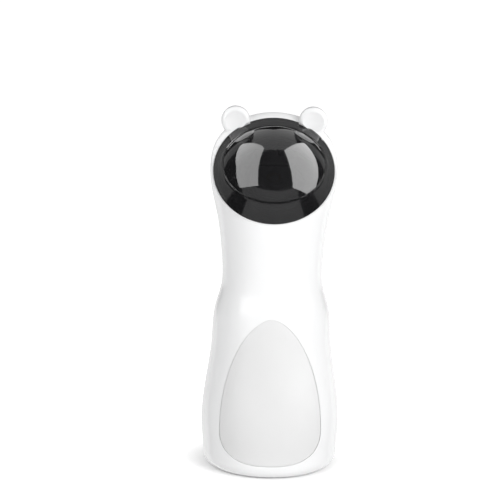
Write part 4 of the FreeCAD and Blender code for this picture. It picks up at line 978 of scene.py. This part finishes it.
def emitterMaterial(name, strength):
    material = bpy.data.materials.new(name)
    material.use_nodes = True
    tree = material.node_tree
    tree.nodes.clear()
    glow = tree.nodes.new("ShaderNodeEmission")
    glow.inputs["Color"].default_value = (1, 1, 1, 1)
    glow.inputs["Strength"].default_value = strength
    tree.links.new(glow.outputs[0], tree.nodes.new("ShaderNodeOutputMaterial").inputs[0])
    return material


def stagePiece(name, vertices, faces, material):
    mesh = bpy.data.meshes.new(name)
    mesh.from_pydata(np.asarray(vertices).tolist(), [], faces)
    thing = bpy.data.objects.new(name, mesh)
    scene.collection.objects.link(thing)
    thing.data.materials.append(material)
    return thing


def reflectedSheet(name, spots, faces, strength):
    # seen in gloss alone: it neither lights the object nor hides it from a camera
    sheet = stagePiece(name, spots, faces, emitterMaterial(name, strength))
    for ray in ("camera", "diffuse", "transmission", "shadow", "volume_scatter"):
        setattr(sheet, "visible_" + ray, False)


def direction(turn, lift):
    turn, lift = math.radians(turn), math.radians(lift)
    return np.array([math.sin(turn) * math.cos(lift), -math.cos(turn) * math.cos(lift), math.sin(lift)])


def panelSpots(directions):
    heart, reach = np.array(studio["heart"]), studio["panelReach"]
    return [heart + direction(turn, lift) * reach for turn, lift in directions]


def gridFace(row, place, across):
    first = row * across + place
    return [first, first + 1, first + across + 1, first + across]


for index, (corners, strength) in enumerate(studio["panels"]):
    reflectedSheet(f"panel{index}", panelSpots(corners), [list(range(len(corners)))], strength)

tableWide = len(studio["tableEdge"])
tableRows = [[(turn, lift) for turn in np.linspace(start, end, tableWide)]
             for start, end, lift in studio["tableRows"]]
mirrored = [[(-turn, lift) for turn, lift in row] for row in studio["strip"]]
sheets = (([studio["tableEdge"], *tableRows], studio["tableGlow"]), (studio["lid"], studio["lidGlow"]),
          (studio["strip"], studio["stripGlow"]), (mirrored, studio["stripGlow"]))
for index, (rows, strength) in enumerate(sheets):
    across = len(rows[0])
    faces = [gridFace(row, place, across) for row in range(len(rows) - 1) for place in range(across - 1)]
    reflectedSheet(f"sheet{index}", panelSpots([spot for row in rows for spot in row]), faces, strength)

# a dark room, open low behind the object where white paper lies
turnStep, liftStep = studio["darkStep"]
roomTurns, roomLifts = np.arange(-180, 181, turnStep), np.arange(-90, 91, liftStep)
spots = [direction(turn, lift) * studio["darkReach"] for lift in roomLifts for turn in roomTurns]
faces = []
for row in range(len(roomLifts) - 1):
    for place in range(len(roomTurns) - 1):
        side = abs(roomTurns[place] + turnStep / 2)
        if side < 125 or roomLifts[row + 1] > (-5 if side < 150 else 7):
            faces.append(gridFace(row, place, len(roomTurns)))
reflectedSheet("darkRoom", spots, faces, studio["darkLevel"])


def floorMaterial():
    # white paper; past the object's surroundings a glow for the camera keeps it as white as the sky, and a
    # weaker glow nearer the object paints light into the object's shadow on it
    material, tree, shader, place = newShader("floorPaper")
    colour = studio["floorColour"]
    shade = [value * studio["floorShade"] for value in colour]
    skin = skinNode(tree, place, "moulded", {"Colour": (*colour, 1), "Shade": (*shade, 1),
                                             "Flow": studio["floorFlow"]})
    tree.links.new(skin["Colour"], shader.inputs["Base Color"])
    shader.inputs["Roughness"].default_value = 1.0
    shader.inputs["Specular IOR Level"].default_value = 0.0
    length = tree.nodes.new("ShaderNodeVectorMath")
    length.operation = "LENGTH"
    tree.links.new(place, length.inputs[0])
    rise = rangeNode(tree, length.outputs["Value"], *studio["floorGlow"], *studio["glowReach"])
    rise.node.interpolation_type = "SMOOTHSTEP"
    cameraRay = tree.nodes.new("ShaderNodeLightPath").outputs["Is Camera Ray"]
    shader.inputs["Emission Color"].default_value = (1, 1, 1, 1)
    tree.links.new(mathNode(tree, "MULTIPLY", cameraRay, rise), shader.inputs["Emission Strength"])
    return material


reach = studio["floorReach"]
corners = [(-reach, -reach, 0), (reach, -reach, 0), (reach, reach, 0), (-reach, reach, 0)]
floor = stagePiece("floor", corners, [[0, 1, 2, 3]], floorMaterial())
floor.visible_glossy = False

# a white backdrop for what is seen directly, in gloss or through glass, and a dimmer fill for the rest
world = bpy.data.worlds.new("studioWorld")
scene.world = world
world.use_nodes = True
tree = world.node_tree
back = tree.nodes["Background"]
back.inputs["Color"].default_value = (1, 1, 1, 1)
path = tree.nodes.new("ShaderNodeLightPath").outputs
seen = mathNode(tree, "MAXIMUM", path["Is Camera Ray"], path["Is Glossy Ray"])
seen = mathNode(tree, "MAXIMUM", seen, path["Is Transmission Ray"])
tree.links.new(rangeNode(tree, seen, studio["worldFill"], 1.0, 0.0, 1.0), back.inputs["Strength"])

for index, (spot, aim, power) in enumerate(studio["lamps"]):
    light = bpy.data.lights.new(f"softLamp{index}", "AREA")
    light.shape = "DISK"
    light.size = studio["lampSize"]
    light.energy = power
    lamp = bpy.data.objects.new(f"softLamp{index}", light)
    lamp.location = spot
    lamp.rotation_euler = (Vector(aim) - Vector(spot)).to_track_quat("-Z", "Y").to_euler()
    lamp.visible_glossy = False
    lamp.visible_camera = False
    scene.collection.objects.link(lamp)
print("studio ready")


# ---- camera

view = {"aim": (-0.0138, 0, 0.1348), "lift": 12.0, "roll": 0.85, "distance": 1.4, "lens": 164.4}
lift, roll = math.radians(view["lift"]), math.radians(view["roll"])
forward = Vector((0, math.cos(lift), -math.sin(lift)))
level, upright = Vector((1, 0, 0)), Vector((0, math.sin(lift), math.cos(lift)))
across = level * math.cos(roll) + upright * math.sin(roll)
upwards = upright * math.cos(roll) - level * math.sin(roll)
cameraData = bpy.data.cameras.new("camera")
cameraData.lens = view["lens"]
cameraData.sensor_width = 36.0
camera = bpy.data.objects.new("camera", cameraData)
scene.collection.objects.link(camera)
spot = Vector(view["aim"]) - forward * view["distance"]
placed = camera.matrix_world.copy()
for row in range(3):
    placed[row] = across[row], upwards[row], -forward[row], spot[row]
camera.matrix_world = placed
scene.camera = camera
